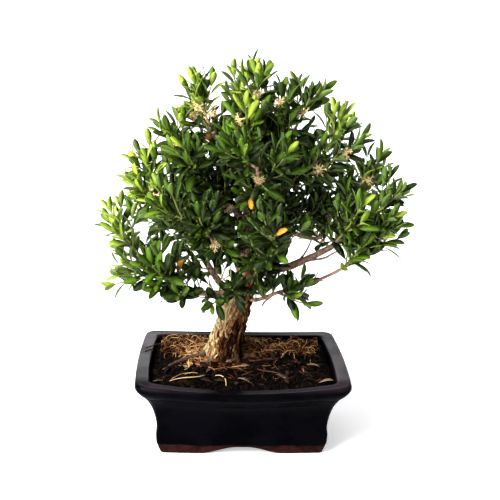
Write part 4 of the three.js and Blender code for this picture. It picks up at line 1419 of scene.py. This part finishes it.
def leafy_stem(growth, leaf, line, radii, reference, draw, first_share, brightness):
    """Pairs of leaves up a stem, each pair square to the last, smaller and younger towards the tip."""
    growth.stem(line, radii)
    steps = [(Vector(b) - Vector(a)).length for a, b in zip(line, line[1:])]
    total = sum(steps)
    count = max(2, round(total * (1 - first_share) / (leaf.spacing / MM)))
    for k in range(count):
        share = mix(first_share, 1.0, k / (count - 1))
        at, heading = on_line(line, steps, total * min(share, 0.995))
        first = square_to(heading, reference)
        second = heading.cross(first)
        from_tip = (1 - share) * total
        age = smoothstep(from_tip, 0, 30)
        size = mix(0.84, 1.0, smoothstep(from_tip, 0, 9)) * mix(1.0, 0.86, smoothstep(from_tip, 25, 50))
        width = leaf.width / MM * mix(size, 1, 0.3) * mix(0.9, 1.2, age)
        tilt = mix(0.42, 1.08, smoothstep(from_tip, 0, 22))
        for half_turn in (0, math.pi):
            turn = math.pi / 4 + k * math.pi / 2 + half_turn + (draw() - 0.5) * 0.5
            lean = tilt + (draw() - 0.5) * 0.3
            outward = turned(first, second, turn)
            normal = heading * math.sin(lean) - outward * math.cos(lean)
            direction = (turned(heading, outward, lean) + LEAF_LIFT).normalized()
            tone = leaf_tone(at, direction, age, brightness, draw)
            length = leaf.length / MM * size * mix(0.92, 1.06, draw())
            length = length_that_fits(at, direction, length)
            if not in_a_gap(at + direction * length * 0.55):
                growth.leaf(at + outward * 0.4, direction, normal, length, width, tone)


def grow_shoot(growth, shoot, leaf, brightness):
    """One shoot with its side shoots."""
    draw = shoot.draw
    steps = spread(9, 0, 1)
    radii = spread(len(steps), STEM_BASE_RADIUS, STEM_TIP_RADIUS)
    line = [shoot.green(u) for u in steps]
    leafy_stem(growth, leaf, line, radii, shoot.reference, draw, 0.16, brightness)
    for k in range(SIDE_SHOOTS):
        u = mix(0.04, 0.62, (k + 0.4 * draw()) / SIDE_SHOOTS)
        at, heading, first, second = shoot.frame(u)
        outward = turned(first, second, math.pi / 4 + k * 2.4 + 0.5 * draw())
        leaning = (heading * 0.9 + outward * 0.62 + Vector((0, 0, 0.28))).normalized()
        length = mix(24, 7, u) + 8 * draw()
        end = at + leaning * length + Vector((0, 0, 0.1 * length))
        middle = at + leaning * length * 0.5
        line = [at, at.lerp(middle, 0.5), middle, middle.lerp(end, 0.5), end]
        shaded = brightness * mix(0.25, 1.1, (k * 0.61 + shoot.length * 0.07) % 1)
        leafy_stem(growth, leaf, line, spread(5, 0.85, 0.55), second, draw, 0.3, shaded)


# Operators


class MakePot(bpy.types.Operator):
    """Make the glazed pot with its rim, waist, four feet and drain holes"""

    bl_idname = "bonsai.make_pot"
    bl_label = "Make Pot"

    def execute(self, context):
        settings = context.scene.bonsai_pot
        rings = [*self.underside(settings), *self.wall(settings)]
        shell = Shell()
        shell.loft(rings, [0.0] * len(rings))
        material = glaze_finish(settings)
        pot = shell.to_object("pot_glazed", material)
        for side in (-1, 1):
            self.drill(pot, place((side * DRAIN_HOLE_X, 0, DRILL_HEIGHT)))
        pot.data.materials.clear()
        pot.data.materials.append(material)
        finish_piece(pot, ["pot"])
        return {"FINISHED"}

    def underside(self, settings):
        """Rings from the recess under the floor down to the foot's inner edge."""
        foot_edge = POT_OUTSIDE[0][1] + FOOT_WIDTH
        rings = []
        for z, further_in in reversed(FOOT_INSIDE):
            ring = pot_outline(settings, z, foot_edge + further_in, bow_at(0))
            for point in ring:
                point.z = mix(arch_at(point, settings), RECESS_HEIGHT, z / RECESS_HEIGHT)
            rings.append(ring)
        return rings

    def wall(self, settings):
        """Rings up the outside, over the rim and down the inside, a little uneven as if made by hand."""
        wander = settings.unevenness / MM
        rings = []
        for z, inset in POT_OUTSIDE + POT_INSIDE:
            ring = pot_outline(settings, z, inset, bow_at(z))
            for point in ring:
                if z < ARCH_TOP:
                    lift = arch_at(point, settings)
                    point.z = lift + z * (ARCH_TOP - lift) / ARCH_TOP
                shift = noise.noise(point * 0.035) + 0.5 * noise.noise(point * 0.11)
                if z > 60:
                    point.z += min(0.0, shift) * wander
                point.xy *= 1 - abs(shift) * wander / 90
            rings.append(ring)
        return rings

    def drill(self, pot, middle):
        bpy.ops.mesh.primitive_cylinder_add(
            vertices=32, radius=DRAIN_HOLE_RADIUS * MM, depth=DRILL_LENGTH * MM, location=middle
        )
        bit = bpy.context.active_object
        cut = pot.modifiers.new("Drain Hole", "BOOLEAN")
        cut.object = bit
        cut.solver = "EXACT"
        cut.operation = "DIFFERENCE"
        drilled = evaluated_mesh(pot)
        pot.modifiers.remove(cut)
        pot.data = drilled
        drop(bit)


class DressNets(bpy.types.Operator):
    """Give the nets over the drain holes their black plastic"""

    bl_idname = "bonsai.dress_nets"
    bl_label = "Dress Nets"

    def execute(self, context):
        material = plain_finish("black_net", NET_BLACK, roughness=0.6, scale=700, depth=0.0002)
        for name in ("drain_net_left", "drain_net_right"):
            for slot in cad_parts[name].material_slots:
                slot.link = "OBJECT"
                slot.material = material
        return {"FINISHED"}


class MakeSoil(bpy.types.Operator):
    """Make the bed of crumbly soil between the pot's walls"""

    bl_idname = "bonsai.make_soil"
    bl_label = "Make Soil"

    def execute(self, context):
        settings = context.scene.bonsai_soil
        pot = context.scene.bonsai_pot
        relief = settings.relief / MM
        rings = []
        for height, inset in SOIL_OUTSIDE:
            rings.append(pot_outline(pot, height, inset, bow_at(height) * SOIL_BOW, *SOIL_POINTS))
        edge = rings.pop()
        for s in range(SOIL_RINGS):
            share = 1 - s / SOIL_RINGS * (1 - SOIL_HOLE)
            below_edge = 0.8 if s == 0 else 0
            ring = []
            for p in edge:
                x, y = p.x * share, p.y * share
                spot = Vector((x, y, 0))
                rough = 0.55 * noise.noise(spot * 0.33) + 0.45 * abs(noise.noise(spot * 0.8))
                rough += 0.35 * noise.noise(spot * 0.09)
                ring.append(Vector((x, y, soil_height(x, y) + relief * rough - below_edge)))
            rings.append(ring)
        shell = Shell()
        shell.loft(rings, [0.0] * len(rings))
        bed = shell.to_object("soil_bed", soil_finish(settings))
        finish_piece(bed, ["soil"])
        return {"FINISHED"}


class ScatterLitter(bpy.types.Operator):
    """Scatter crumbs, bark chips, white grit and fallen leaves over the soil"""

    bl_idname = "bonsai.scatter_litter"
    bl_label = "Scatter Litter"

    def execute(self, context):
        settings = context.scene.bonsai_soil
        dim_brown = tinted(settings.brown, 0.35)
        dark = toned_finish("soil_crumbs", settings.dark, dim_brown, PALE_CRUMB, scale=900, depth=0.0006)
        grit = dry_finish("white_grit")
        crumb = crumb_template("crumb_shape", 1.7)
        scatter = scatter_tree()
        for name, (share, smallest, largest, shift) in LITTER.items():
            surface = self.surface(context.scene.bonsai_pot, name)
            run_tree(surface, scatter, {
                "Crumb": crumb,
                "Density": settings.crumb_density * share,
                "Smallest": smallest,
                "Largest": largest,
                "Seed": settings.seed + shift,
                "Finish": grit if name == "white_grit" else dark,
            })
            finish_piece(surface)
        drop(crumb)
        self.fallen_leaves(settings)
        return {"FINISHED"}

    def surface(self, pot, name):
        """The soil's top, a little in from the wall, to scatter on."""
        edge = pot_outline(pot, SOIL_EDGE, LITTER_INSET, bow_at(SOIL_EDGE) * 0.9, 3, 9, 7)
        points = []
        for share in spread(LITTER_RINGS + 1, 1, 0):
            for p in edge:
                x, y = p.x * share, p.y * share
                points.append(place((x, y, soil_height(x, y) + 0.2)))
        mesh = bpy.data.meshes.new(name)
        mesh.from_pydata(points, [], skin_faces(LITTER_RINGS + 1, len(edge)))
        return make_object(name, mesh)

    def fallen_leaves(self, settings):
        """Dry leaves that lie on the soil, most of them at the middle and the right."""
        draws = random.Random(settings.seed + 40)
        growth = Growth()
        for k in range(FALLEN_LEAVES):
            x, y = draws.uniform(-30 if k % 3 else -78, 78), draws.uniform(-52, 50)
            turn = draws.uniform(0, 2 * math.pi)
            slope = draws.uniform(-0.08, 0.25)
            direction = Vector((math.cos(turn), math.sin(turn), slope)).normalized()
            side = sides_of(direction)[0]
            normal = turned(side.cross(direction), side, draws.uniform(-0.5, 0.5))
            length, width = draws.uniform(9, 16), draws.uniform(3.6, 6)
            place_on_soil = (x, y, soil_height(x, y) + 1.3)
            growth.leaf(place_on_soil, direction, normal, length, width, draws.random() ** 3)
        dry = leaf_template("dry_leaf_shape", LEAF_STATIONS, fold=0.09, arch=0.05, thickness=0.03, curl=0.06)
        material = dry_finish("dry_leaf")
        litter = grow(growth, "fallen_leaves", dry, material, material)
        drop(dry)
        finish_piece(litter)


class MakeRoots(bpy.types.Operator):
    """Lay fine tan and rust-coloured roots over the soil and round the trunk's foot"""

    bl_idname = "bonsai.make_roots"
    bl_label = "Make Roots"

    def execute(self, context):
        draws = random.Random(context.scene.bonsai_soil.seed + 60)
        thick, fine = Growth(), Growth()
        for k, root in enumerate(DEAD_ROOTS):
            tone = 1.0 if k < PALEST_DEAD_ROOTS else draws.uniform(0.0, 0.5)
            self.strand(thick, draws, *root, DEAD_ROOT_RADIUS, DEAD_ROOT_SWING, tone)
        for root in THIN_DEAD_ROOTS:
            self.strand(thick, draws, *root)
        for points in STRAY_TWIGS:
            line = smooth_line(points, 3)
            thick.stem(line, spread(len(line), 0.75, 0.4), 0.0)
        for _ in range(SKIRT_ROOTS):
            self.skirt(fine, draws)
        for count, xs, ys, rises, depth, tones in ROOT_MATS:
            for _ in range(count):
                self.strand(
                    fine,
                    draws,
                    x=draws.uniform(*xs),
                    y=draws.uniform(*ys),
                    turn=draws.uniform(0, 2 * math.pi),
                    length=draws.uniform(*MAT_ROOT_LENGTH),
                    rise=draws.uniform(*rises),
                    radius=draws.uniform(*MAT_ROOT_RADIUS),
                    swing=draws.uniform(*MAT_ROOT_SWING),
                    tone=mix(*tones, draws.random() ** 2),
                    base=draws.uniform(0, depth),
                )
        crumb = crumb_template("root_tip_shape", 0.3)
        for growth, name, look, sides in (
            (thick, "arched_roots", "tan_roots", 8),
            (fine, "fine_roots", "fine_roots", 5),
        ):
            material = dry_finish(look)
            finish_piece(grow(growth, name, crumb, material, material, sides))
        drop(crumb)
        return {"FINISHED"}

    def skirt(self, growth, draws):
        """One root down the trunk's flare and out over the soil, tan at the left as painted light and darker
        elsewhere.
        """
        turn = draws.uniform(0, 2 * math.pi)
        swing = draws.uniform(*SKIRT_SWING)
        top = draws.uniform(*SKIRT_TOP)
        in_front = smoothstep(-math.sin(turn), 0.0, 0.8)
        reach = draws.uniform(*SKIRT_REACH) * mix(1.0, 0.55, in_front)
        points = []
        for t in spread(4, 0, 1):
            x, y, z, radius = trunk_at(mix(top, SKIRT_FOOT, t))
            way = turn + swing * 0.4 * t
            out = radius * 0.97 + 1.2 * draws.random()
            points.append((x + math.cos(way) * out, y + math.sin(way) * out, z))
        for t in spread(6, 0, 1)[1:]:
            way = turn + swing * (0.4 + t) + 0.3 * math.sin(5 * t + top)
            x, y = beside_trunk(way, SKIRT_START + reach * t)
            x, y = limited(x, ROOT_LIMIT_X), limited(y, ROOT_LIMIT_Y)
            points.append((x, y, soil_height(x, y) + mix(2.6, -0.8, t) + 1.2 * draws.random()))
        thick = draws.random() < 0.16
        radius = draws.uniform(0.5, 0.9) if thick else draws.uniform(0.15, 0.5)
        # Painted light: roots at the trunk's left side are paler.
        tone = mix(0.8, 0.3, smoothstep(math.cos(turn), -0.8, 0.3)) + draws.uniform(-0.5, 0.4)
        tone -= 0.4 * in_front + 0.25 * thick
        line = smooth_line(points, 3)
        growth.stem(line, [radius] * len(line), tone)

    def strand(self, growth, draws, x, y, turn, length, rise, radius, swing, tone, base=0):
        """One root that lifts off the soil between its ends and wanders sideways, kept inside the pot."""
        count = max(5, round(length / 3))
        shares = spread(count, 0, 1)
        wave = draws.uniform(0, 6)
        line = []
        for t in shares:
            heading = turn + swing * t + 0.35 * math.sin(wave + t * 5)
            if t > 0:
                x += math.cos(heading) * length / count
                y += math.sin(heading) * length / count
            x, y = limited(x, ROOT_LIMIT_X), limited(y, ROOT_LIMIT_Y)
            lift = rise * math.sin(math.pi * t) ** 0.7 if 0 < t < 1 else -1.2
            line.append((x, y, soil_height(x, y) + lift + base + 0.3))
        growth.stem(line, [radius * (1 - 0.35 * abs(2 * t - 1)) for t in shares], tone)


class MakeWood(bpy.types.Operator):
    """Make the fluted trunk, its surface roots, the branches and the woody twigs"""

    bl_idname = "bonsai.make_wood"
    bl_label = "Make Trunk and Branches"

    def execute(self, context):
        settings = context.scene.bonsai_wood
        shell = Shell()
        self.trunk(shell, settings.relief / MM)
        for root in SURFACE_ROOTS:
            self.limb(shell, self.surface_root(*root), sides=16, step=1.6, knots=0.3, bark=ROOT_BARK)
        for first, last, points in BRANCHES.values():
            self.limb(shell, tapered(points, first, last), sides=14, step=2.2, knots=0.28)
        for shoot in named_shoots().values():
            points = [shoot.at(t) for t in spread(7, 0, shoot.green_from)]
            self.limb(shell, tapered(points, 1.75, 1.25), sides=8, step=3, knots=0.2)
        for points in BARE_TWIGS:
            self.limb(shell, tapered(points, 1.3, 0.7), sides=8, step=2.2, knots=0.4)
        wood = shell.to_object("bark_and_branches", bark_finish(settings))
        finish_piece(wood, ["trunk_and_branches"])
        self.slivers()
        return {"FINISHED"}

    def trunk(self, shell, relief):
        """Level rings up the trunk, with flutes that widen at its foot, ridges, cracks and flakes."""
        line = smooth_line(TRUNK[1:], TRUNK_STEP)
        rings = []
        for x, y, z, radius in line:
            ring = []
            for turn in turns(TRUNK_SIDES):
                flare = 0.18 - 0.12 * smoothstep(z, 70, 100)
                flutes = 1 + 0.09 * math.cos(3 * turn + z * 0.03) + flare * math.cos(5 * turn - z * 0.02)
                flutes -= SLIMMER_AT_RIGHT * max(0.0, math.cos(turn)) * smoothstep(z, 72, 84)
                around = level_way(turn) * 2.6
                ridge = noise.noise(around * 1.5 + Vector((0, 0, z * 0.035)))
                cracks = abs(noise.noise(around * 4 + Vector((0, 0, z * 0.11))))
                flakes = noise.noise(around * 5 + Vector((9, 0, z * 0.4)))
                rough = min(1.0, radius / 10) * relief * (1.1 * ridge - 1.6 * cracks + 0.5 * flakes + 0.2)
                reach = radius * flutes + rough
                ring.append(Vector((x + reach * math.cos(turn), y + reach * math.sin(turn), z)))
            rings.append(ring)
        shell.loft(rings, [row[3] for row in line])

    def limb(self, shell, points, sides, step, knots, bark=0):
        """A knotty tube through points with their radii. Its bark is that of wood at least so thick."""
        way = smooth_line(points, step)

        def radius(row, turn, i):
            around = Vector((math.cos(turn), math.sin(turn), i * step * 0.12))
            return row[3] * (1 + knots * noise.noise(around * 1.6 + Vector(row[:3]) * 0.02))

        shell.loft(tube_rings(way, sides, radius), [max(bark, row[3]) for row in way])

    def surface_root(self, turn, reach, radius, swing):
        """The points and radii of a root from inside the trunk's foot out over the soil."""
        rows = []
        for t in spread(7, 0, 1):
            x, y = beside_trunk(turn + swing * t * t, 8 + (reach - 8) * t)
            thick = radius * (1 - 0.72 * t)
            rows.append((x, y, soil_height(x, y) + thick * 0.2 - 1 + 9 * (1 - t) ** 4, thick))
        return rows

    def slivers(self):
        """Ragged slivers of bark that stand off the trunk, tan at the left and red-brown at the right, as
        painted light and shade.
        """
        draws = random.Random(71)
        growth = Growth()
        for _ in range(BARK_SLIVERS):
            height = SLIVERS_FROM + SLIVERS_REACH * draws.random() ** 1.4
            turn = draws.uniform(0, 2 * math.pi)
            rightward = math.cos(turn)
            x, y, _, radius = trunk_at(height)
            radius *= 1 - SLIMMER_AT_RIGHT * max(0.0, rightward)
            outward = level_way(turn)
            along = Vector((0.15, 0, draws.choice((-1, 1)))) + outward * draws.uniform(-0.04, 0.12)
            along += outward.cross(Vector((0, 0, 1))) * draws.uniform(-0.6, 0.6)
            # Painted light and shade: tan on the left side, red-brown on the right.
            tone = mix(1.1, 0.4, smoothstep(rightward, -0.7, 0.1)) + draws.uniform(-0.5, 0.5)
            # Painted shade: dark slivers low on the trunk stand for the shade in its hollows.
            hollow_shade = noise.noise(Vector((2 * rightward, 2 * math.sin(turn), height / 16)))
            tone -= 0.7 * smoothstep(hollow_shade, 0.0, 0.16) * (1 - smoothstep(height, 90, 135))
            # Painted shade low on the trunk, towards the soil, except at its far left edge where the light
            # falls.
            tone -= 0.5 * (1 - smoothstep(height, 78, 108)) * smoothstep(rightward, -0.97, -0.7)
            scale = min(1.0, radius / 12)
            length = draws.uniform(*SLIVER_LENGTH) * scale
            width = draws.uniform(*SLIVER_WIDTH) * scale
            seat = Vector((x, y, height)) + outward * radius * 0.93
            growth.leaf(seat, along.normalized(), outward, length, width, tone)
        sliver = leaf_template(
            "bark_sliver_shape", SLIVER_STATIONS, fold=0.3, arch=0.06, thickness=0.05, curl=0.05
        )
        material = dry_finish("bark_slivers")
        piece = grow(growth, "bark_slivers", sliver, material, material)
        drop(sliver)
        finish_piece(piece)


class GrowShoots(bpy.types.Operator):
    """Grow the leafy shoots, one piece for each shoot of the frame"""

    bl_idname = "bonsai.grow_shoots"
    bl_label = "Grow Shoots"

    def execute(self, context):
        leaf = context.scene.bonsai_leaf
        template = leaf_template(
            "leaf_shape", LEAF_STATIONS, fold=0.035, arch=0.04, thickness=0.022, curl=0.05
        )
        shapes = template, leaf_finish(leaf), stem_finish(leaf)
        for order, (name, shoot) in enumerate(named_shoots().items()):
            growth = Growth()
            luck = random.Random(order)
            brightness = light_on(shoot.tip) * mix(0.6, 1.8, luck.random() ** 1.4)
            grow_shoot(growth, shoot, leaf, min(1.0, brightness + 0.8 * luck.random() ** 3))
            piece = grow(growth, "leafy_" + name, *shapes, 6, leaf.variation, leaf.seed + order)
            finish_piece(piece, [name])
        self.fill(leaf, shapes)
        drop(template)
        return {"FINISHED"}

    def fill(self, leaf, shapes):
        """Short leafy spurs along the branches and twigs, which the frame's solids leave out."""
        draws = random.Random(leaf.seed + 300)
        shoots = named_shoots()
        ways = {name: points for name, (_, _, points) in BRANCHES.items()}
        ways["trunk"] = TRUNK[SPURS_FROM:]
        for branch, points in ways.items():
            growth = Growth()
            way = smooth_line(points, 1.5)
            bare = round(BARE_SHARES.get(branch, USUAL_BARE_SHARE) * len(way))
            self.spurs(growth, leaf, draws, way[bare:])
            for name, (parent, _, _) in SHOOTS.items():
                if parent == branch:
                    twig = spread(24, 0.15, shoots[name].green_from)
                    self.spurs(growth, leaf, draws, [shoots[name].at(t) for t in twig])
            piece = grow(growth, "inner_leaves_" + branch, *shapes, 5, leaf.variation, leaf.seed)
            finish_piece(piece)

    def spurs(self, growth, leaf, draws, way):
        """Spurs of a few pairs of old leaves in painted shade, as far apart along a way as the setting says.
        """
        passed = 0.0
        turn = draws.uniform(0, 6)
        for before, after in zip(way, way[1:]):
            before, after = Vector(before[:3]), Vector(after[:3])
            passed += (after - before).length
            if passed < leaf.spur_spacing / MM:
                continue
            passed = 0.0
            turn += draws.uniform(1.6, 2.9)
            heading = (after - before).normalized()
            first, second = sides_of(heading)
            upward = Vector((0, 0, draws.uniform(0.1, 0.6)))
            leaning = (heading * 0.45 + turned(first, second, turn) + upward).normalized()
            length = draws.uniform(*SPUR_LENGTH)
            end = after + leaning * length
            if not in_crown(end + leaning * 12):
                continue
            line = [after.lerp(end, t) + Vector((0, 0, 0.1 * length * t * t)) for t in spread(4, 0, 1)]
            # A brightness of 0.3 paints these leaves in shade.
            leafy_stem(growth, leaf, line, spread(4, 0.8, 0.55), first, draws.random, 0.35, 0.3)


class MakeFlowers(bpy.types.Operator):
    """Make the dry cream flower clusters and the round seed capsule"""

    bl_idname = "bonsai.make_flowers"
    bl_label = "Make Flowers"

    def execute(self, context):
        settings = context.scene.bonsai_flower
        shoots = named_shoots()
        floret = floret_template("floret_shape")
        pale = tinted(settings.petal, 1.25)
        petals = toned_finish("dry_petals", settings.faded, settings.petal, pale, scale=500, depth=0.0002)
        pieces = [(name, [spot], 3, [name]) for name, spot in FLOWERS.items()]
        for name, spots, seed, nodes in (*pieces, ("further_flowers", MORE_FLOWERS, 5, ())):
            growth = Growth()
            for spot in spots:
                self.cluster(growth, *flower_seat(shoots, spot))
            piece = grow(growth, "petals_" + name, floret, petals, petals, sides=5, variation=0.2, seed=seed)
            finish_piece(piece, nodes)
        drop(floret)
        self.capsule(settings, *flower_seat(shoots, CAPSULE))
        return {"FINISHED"}

    def cluster(self, growth, seat, outward):
        """A short stalk with florets at uneven distances round its end, and some missing."""
        centre = seat + outward * FLOWER_STALK
        growth.stem([seat, seat.lerp(centre, 0.5), centre], [0.6, 0.8, 1.4])
        for k in range(FLORETS):
            rise = 1 - (2 * k + 1) / FLORETS
            level = math.sqrt(1 - rise * rise)
            direction = Vector((level * math.cos(k * 2.4), level * math.sin(k * 2.4), rise))
            missing = (k * 0.77 + centre.x) % 1 < 0.25
            if missing or direction.dot(outward) < -0.2:
                continue
            base = centre + direction * (0.4 + (k * 0.53 + centre.z) % 1 * 4.8)
            size = 1.9 + (k * 0.29) % 1 * 1.9
            tone = 0.1 + 0.9 * ((k * 0.37) % 1)
            growth.stem([centre, base + direction * 0.4], [0.35, 0.3])
            growth.leaf(base, direction, sides_of(direction)[0], size, size, tone)

    def capsule(self, settings, seat, outward):
        """A ribbed ball on a short stalk, with three horns at its end."""
        first, second = sides_of(outward)
        middle = seat + outward * (CAPSULE_RADIUS + 1.4)
        ball = []
        for t in spread(19, -1, 1):
            radius = CAPSULE_RADIUS * math.sqrt(max(0.004, 1 - t * t))
            ball.append((*(middle + outward * CAPSULE_RADIUS * t), radius))
        shell = Shell()
        rings = tube_rings(ball, 24, lambda row, turn, i: row[3] * (1 + 0.06 * math.cos(3 * turn)))
        shell.loft(rings, [3.0] * len(ball))
        stalk = [(*seat, 0.7), (*seat.lerp(middle, 0.6), 0.8)]
        shell.loft(tube_rings(stalk, 8, own_radius), [1.0, 1.0])
        for turn in turns(3):
            lean = turned(first, second, turn)
            foot = middle + outward * CAPSULE_RADIUS * 0.8 + lean * 1.3
            tip = foot + outward * 1.6 + lean * 0.9
            shell.loft(tube_rings([(*foot, 0.6), (*tip, 0.25)], 6, own_radius), [1.0, 1.0])
        husk = plain_finish("husk", settings.husk, roughness=0.55, scale=420, depth=0.0005)
        piece = shell.to_object("husk_seed_capsule", husk)
        finish_piece(piece, ["seed_capsule"])


class MakeStage(bpy.types.Operator):
    """Make the pale floor, the soft lights and the camera"""

    bl_idname = "bonsai.make_stage"
    bl_label = "Make Stage"

    def execute(self, context):
        settings = context.scene.bonsai_stage
        self.floor(settings)
        self.surroundings(context.scene, settings.sky)
        for name, (spot, target, size, power) in LAMPS.items():
            self.lamp(name, spot, target, size, getattr(settings, power))
        self.camera(context.scene)
        context.scene.view_settings.view_transform = "Standard"
        return {"FINISHED"}

    def floor(self, settings):
        """A floor that curves up into a wall behind the bonsai."""
        profile = [(-FLOOR_HALF_WIDTH, 0.0), (CURVE_START, 0.0)]
        for turn in spread(13, 0.1, math.pi / 2):
            across, down = CURVE_RADIUS * math.sin(turn), CURVE_RADIUS * math.cos(turn)
            profile.append((CURVE_START + across, CURVE_RADIUS - down))
        profile.append((CURVE_START + CURVE_RADIUS, WALL_TOP))
        mesh = bpy.data.meshes.new("floor")
        corners = [(x, y, z) for y, z in profile for x in (-FLOOR_HALF_WIDTH, FLOOR_HALF_WIDTH)]
        faces = [(2 * i, 2 * i + 1, 2 * i + 3, 2 * i + 2) for i in range(len(profile) - 1)]
        mesh.from_pydata(corners, [], faces)
        mesh.shade_smooth()
        finish = Finish("pale_floor", **{
            "Specular IOR Level": 0.1,
            "Roughness": 0.9,
            "Emission Color": (1, 1, 1, 1),
            "Emission Strength": settings.floor_glow,
        })
        finish.feed(Base_Color=finish.blend(finish.cloud(8), settings.floor, tinted(settings.floor, 0.99)))
        mesh.materials.append(finish.material)
        make_object("floor", mesh)

    def surroundings(self, scene, brightness):
        world = bpy.data.worlds.new("white_surroundings")
        world.use_nodes = True
        background = world.node_tree.nodes["Background"]
        background.inputs["Color"].default_value = (1, 1, 1, 1)
        background.inputs["Strength"].default_value = brightness
        scene.world = world

    def lamp(self, name, spot, target, size, power):
        light = bpy.data.lights.new(name, "AREA")
        light.size = size
        light.energy = power
        lamp = make_object(name, light)
        lamp.location = place(spot)
        lamp.rotation_euler = (place(target) - place(spot)).to_track_quat("-Z", "Y").to_euler()

    def camera(self, scene):
        """The camera, turned by its yaw, pitch and roll."""
        level = Vector((math.cos(CAMERA_YAW), -math.sin(CAMERA_YAW), 0))
        forward = Vector((
            math.sin(CAMERA_YAW) * math.cos(CAMERA_PITCH),
            math.cos(CAMERA_YAW) * math.cos(CAMERA_PITCH),
            -math.sin(CAMERA_PITCH),
        ))
        upright = level.cross(forward)
        right = turned(level, upright, CAMERA_ROLL)
        up = turned(upright, -level, CAMERA_ROLL)
        lens = bpy.data.cameras.new("photo_camera")
        lens.sensor_width = SENSOR_WIDTH
        lens.lens = FOCAL_PIXELS / PICTURE_PIXELS * SENSOR_WIDTH
        lens.clip_start, lens.clip_end = 0.01, 50
        camera = make_object("photo_camera", lens)
        turn = Matrix((right, up, -forward)).transposed().to_4x4()
        camera.matrix_world = Matrix.Translation(place(CAMERA_PLACE)) @ turn
        scene.camera = camera


class BonsaiPanel(bpy.types.Panel):
    """Sizes, colours and makers of the bonsai"""

    bl_idname = "VIEW3D_PT_bonsai"
    bl_label = "Boxwood Bonsai"
    bl_space_type = "VIEW_3D"
    bl_region_type = "UI"
    bl_category = "Bonsai"

    def draw(self, context):
        for title, key, _ in SETTINGS:
            box = self.layout.box()
            box.label(text=title)
            group = getattr(context.scene, key)
            for name in group.bl_rna.properties.keys():
                if name not in ("rna_type", "name"):
                    box.prop(group, name)
        for operator in MAKERS:
            self.layout.operator(operator.bl_idname)


SETTINGS = (
    ("Pot", "bonsai_pot", BonsaiPotSettings),
    ("Soil", "bonsai_soil", BonsaiSoilSettings),
    ("Wood", "bonsai_wood", BonsaiWoodSettings),
    ("Leaves", "bonsai_leaf", BonsaiLeafSettings),
    ("Flowers", "bonsai_flower", BonsaiFlowerSettings),
    ("Stage", "bonsai_stage", BonsaiStageSettings),
)
MAKERS = (
    MakeStage, MakePot, DressNets, MakeSoil, ScatterLitter, MakeRoots, MakeWood, GrowShoots, MakeFlowers,
)


def register():
    for _, key, settings in SETTINGS:
        bpy.utils.register_class(settings)
        setattr(bpy.types.Scene, key, bpy.props.PointerProperty(type=settings))
    for shown in (*MAKERS, BonsaiPanel):
        bpy.utils.register_class(shown)


def unregister():
    for shown in reversed((*MAKERS, BonsaiPanel)):
        bpy.utils.unregister_class(shown)
    for _, key, settings in reversed(SETTINGS):
        delattr(bpy.types.Scene, key)
        bpy.utils.unregister_class(settings)


def main():
    register()
    bpy.ops.bonsai.make_stage()
    bpy.ops.bonsai.make_pot()
    bpy.ops.bonsai.dress_nets()
    bpy.ops.bonsai.make_soil()
    bpy.ops.bonsai.scatter_litter()
    bpy.ops.bonsai.make_roots()
    bpy.ops.bonsai.make_wood()
    bpy.ops.bonsai.grow_shoots()
    bpy.ops.bonsai.make_flowers()


if __name__ == "__main__":
    main()
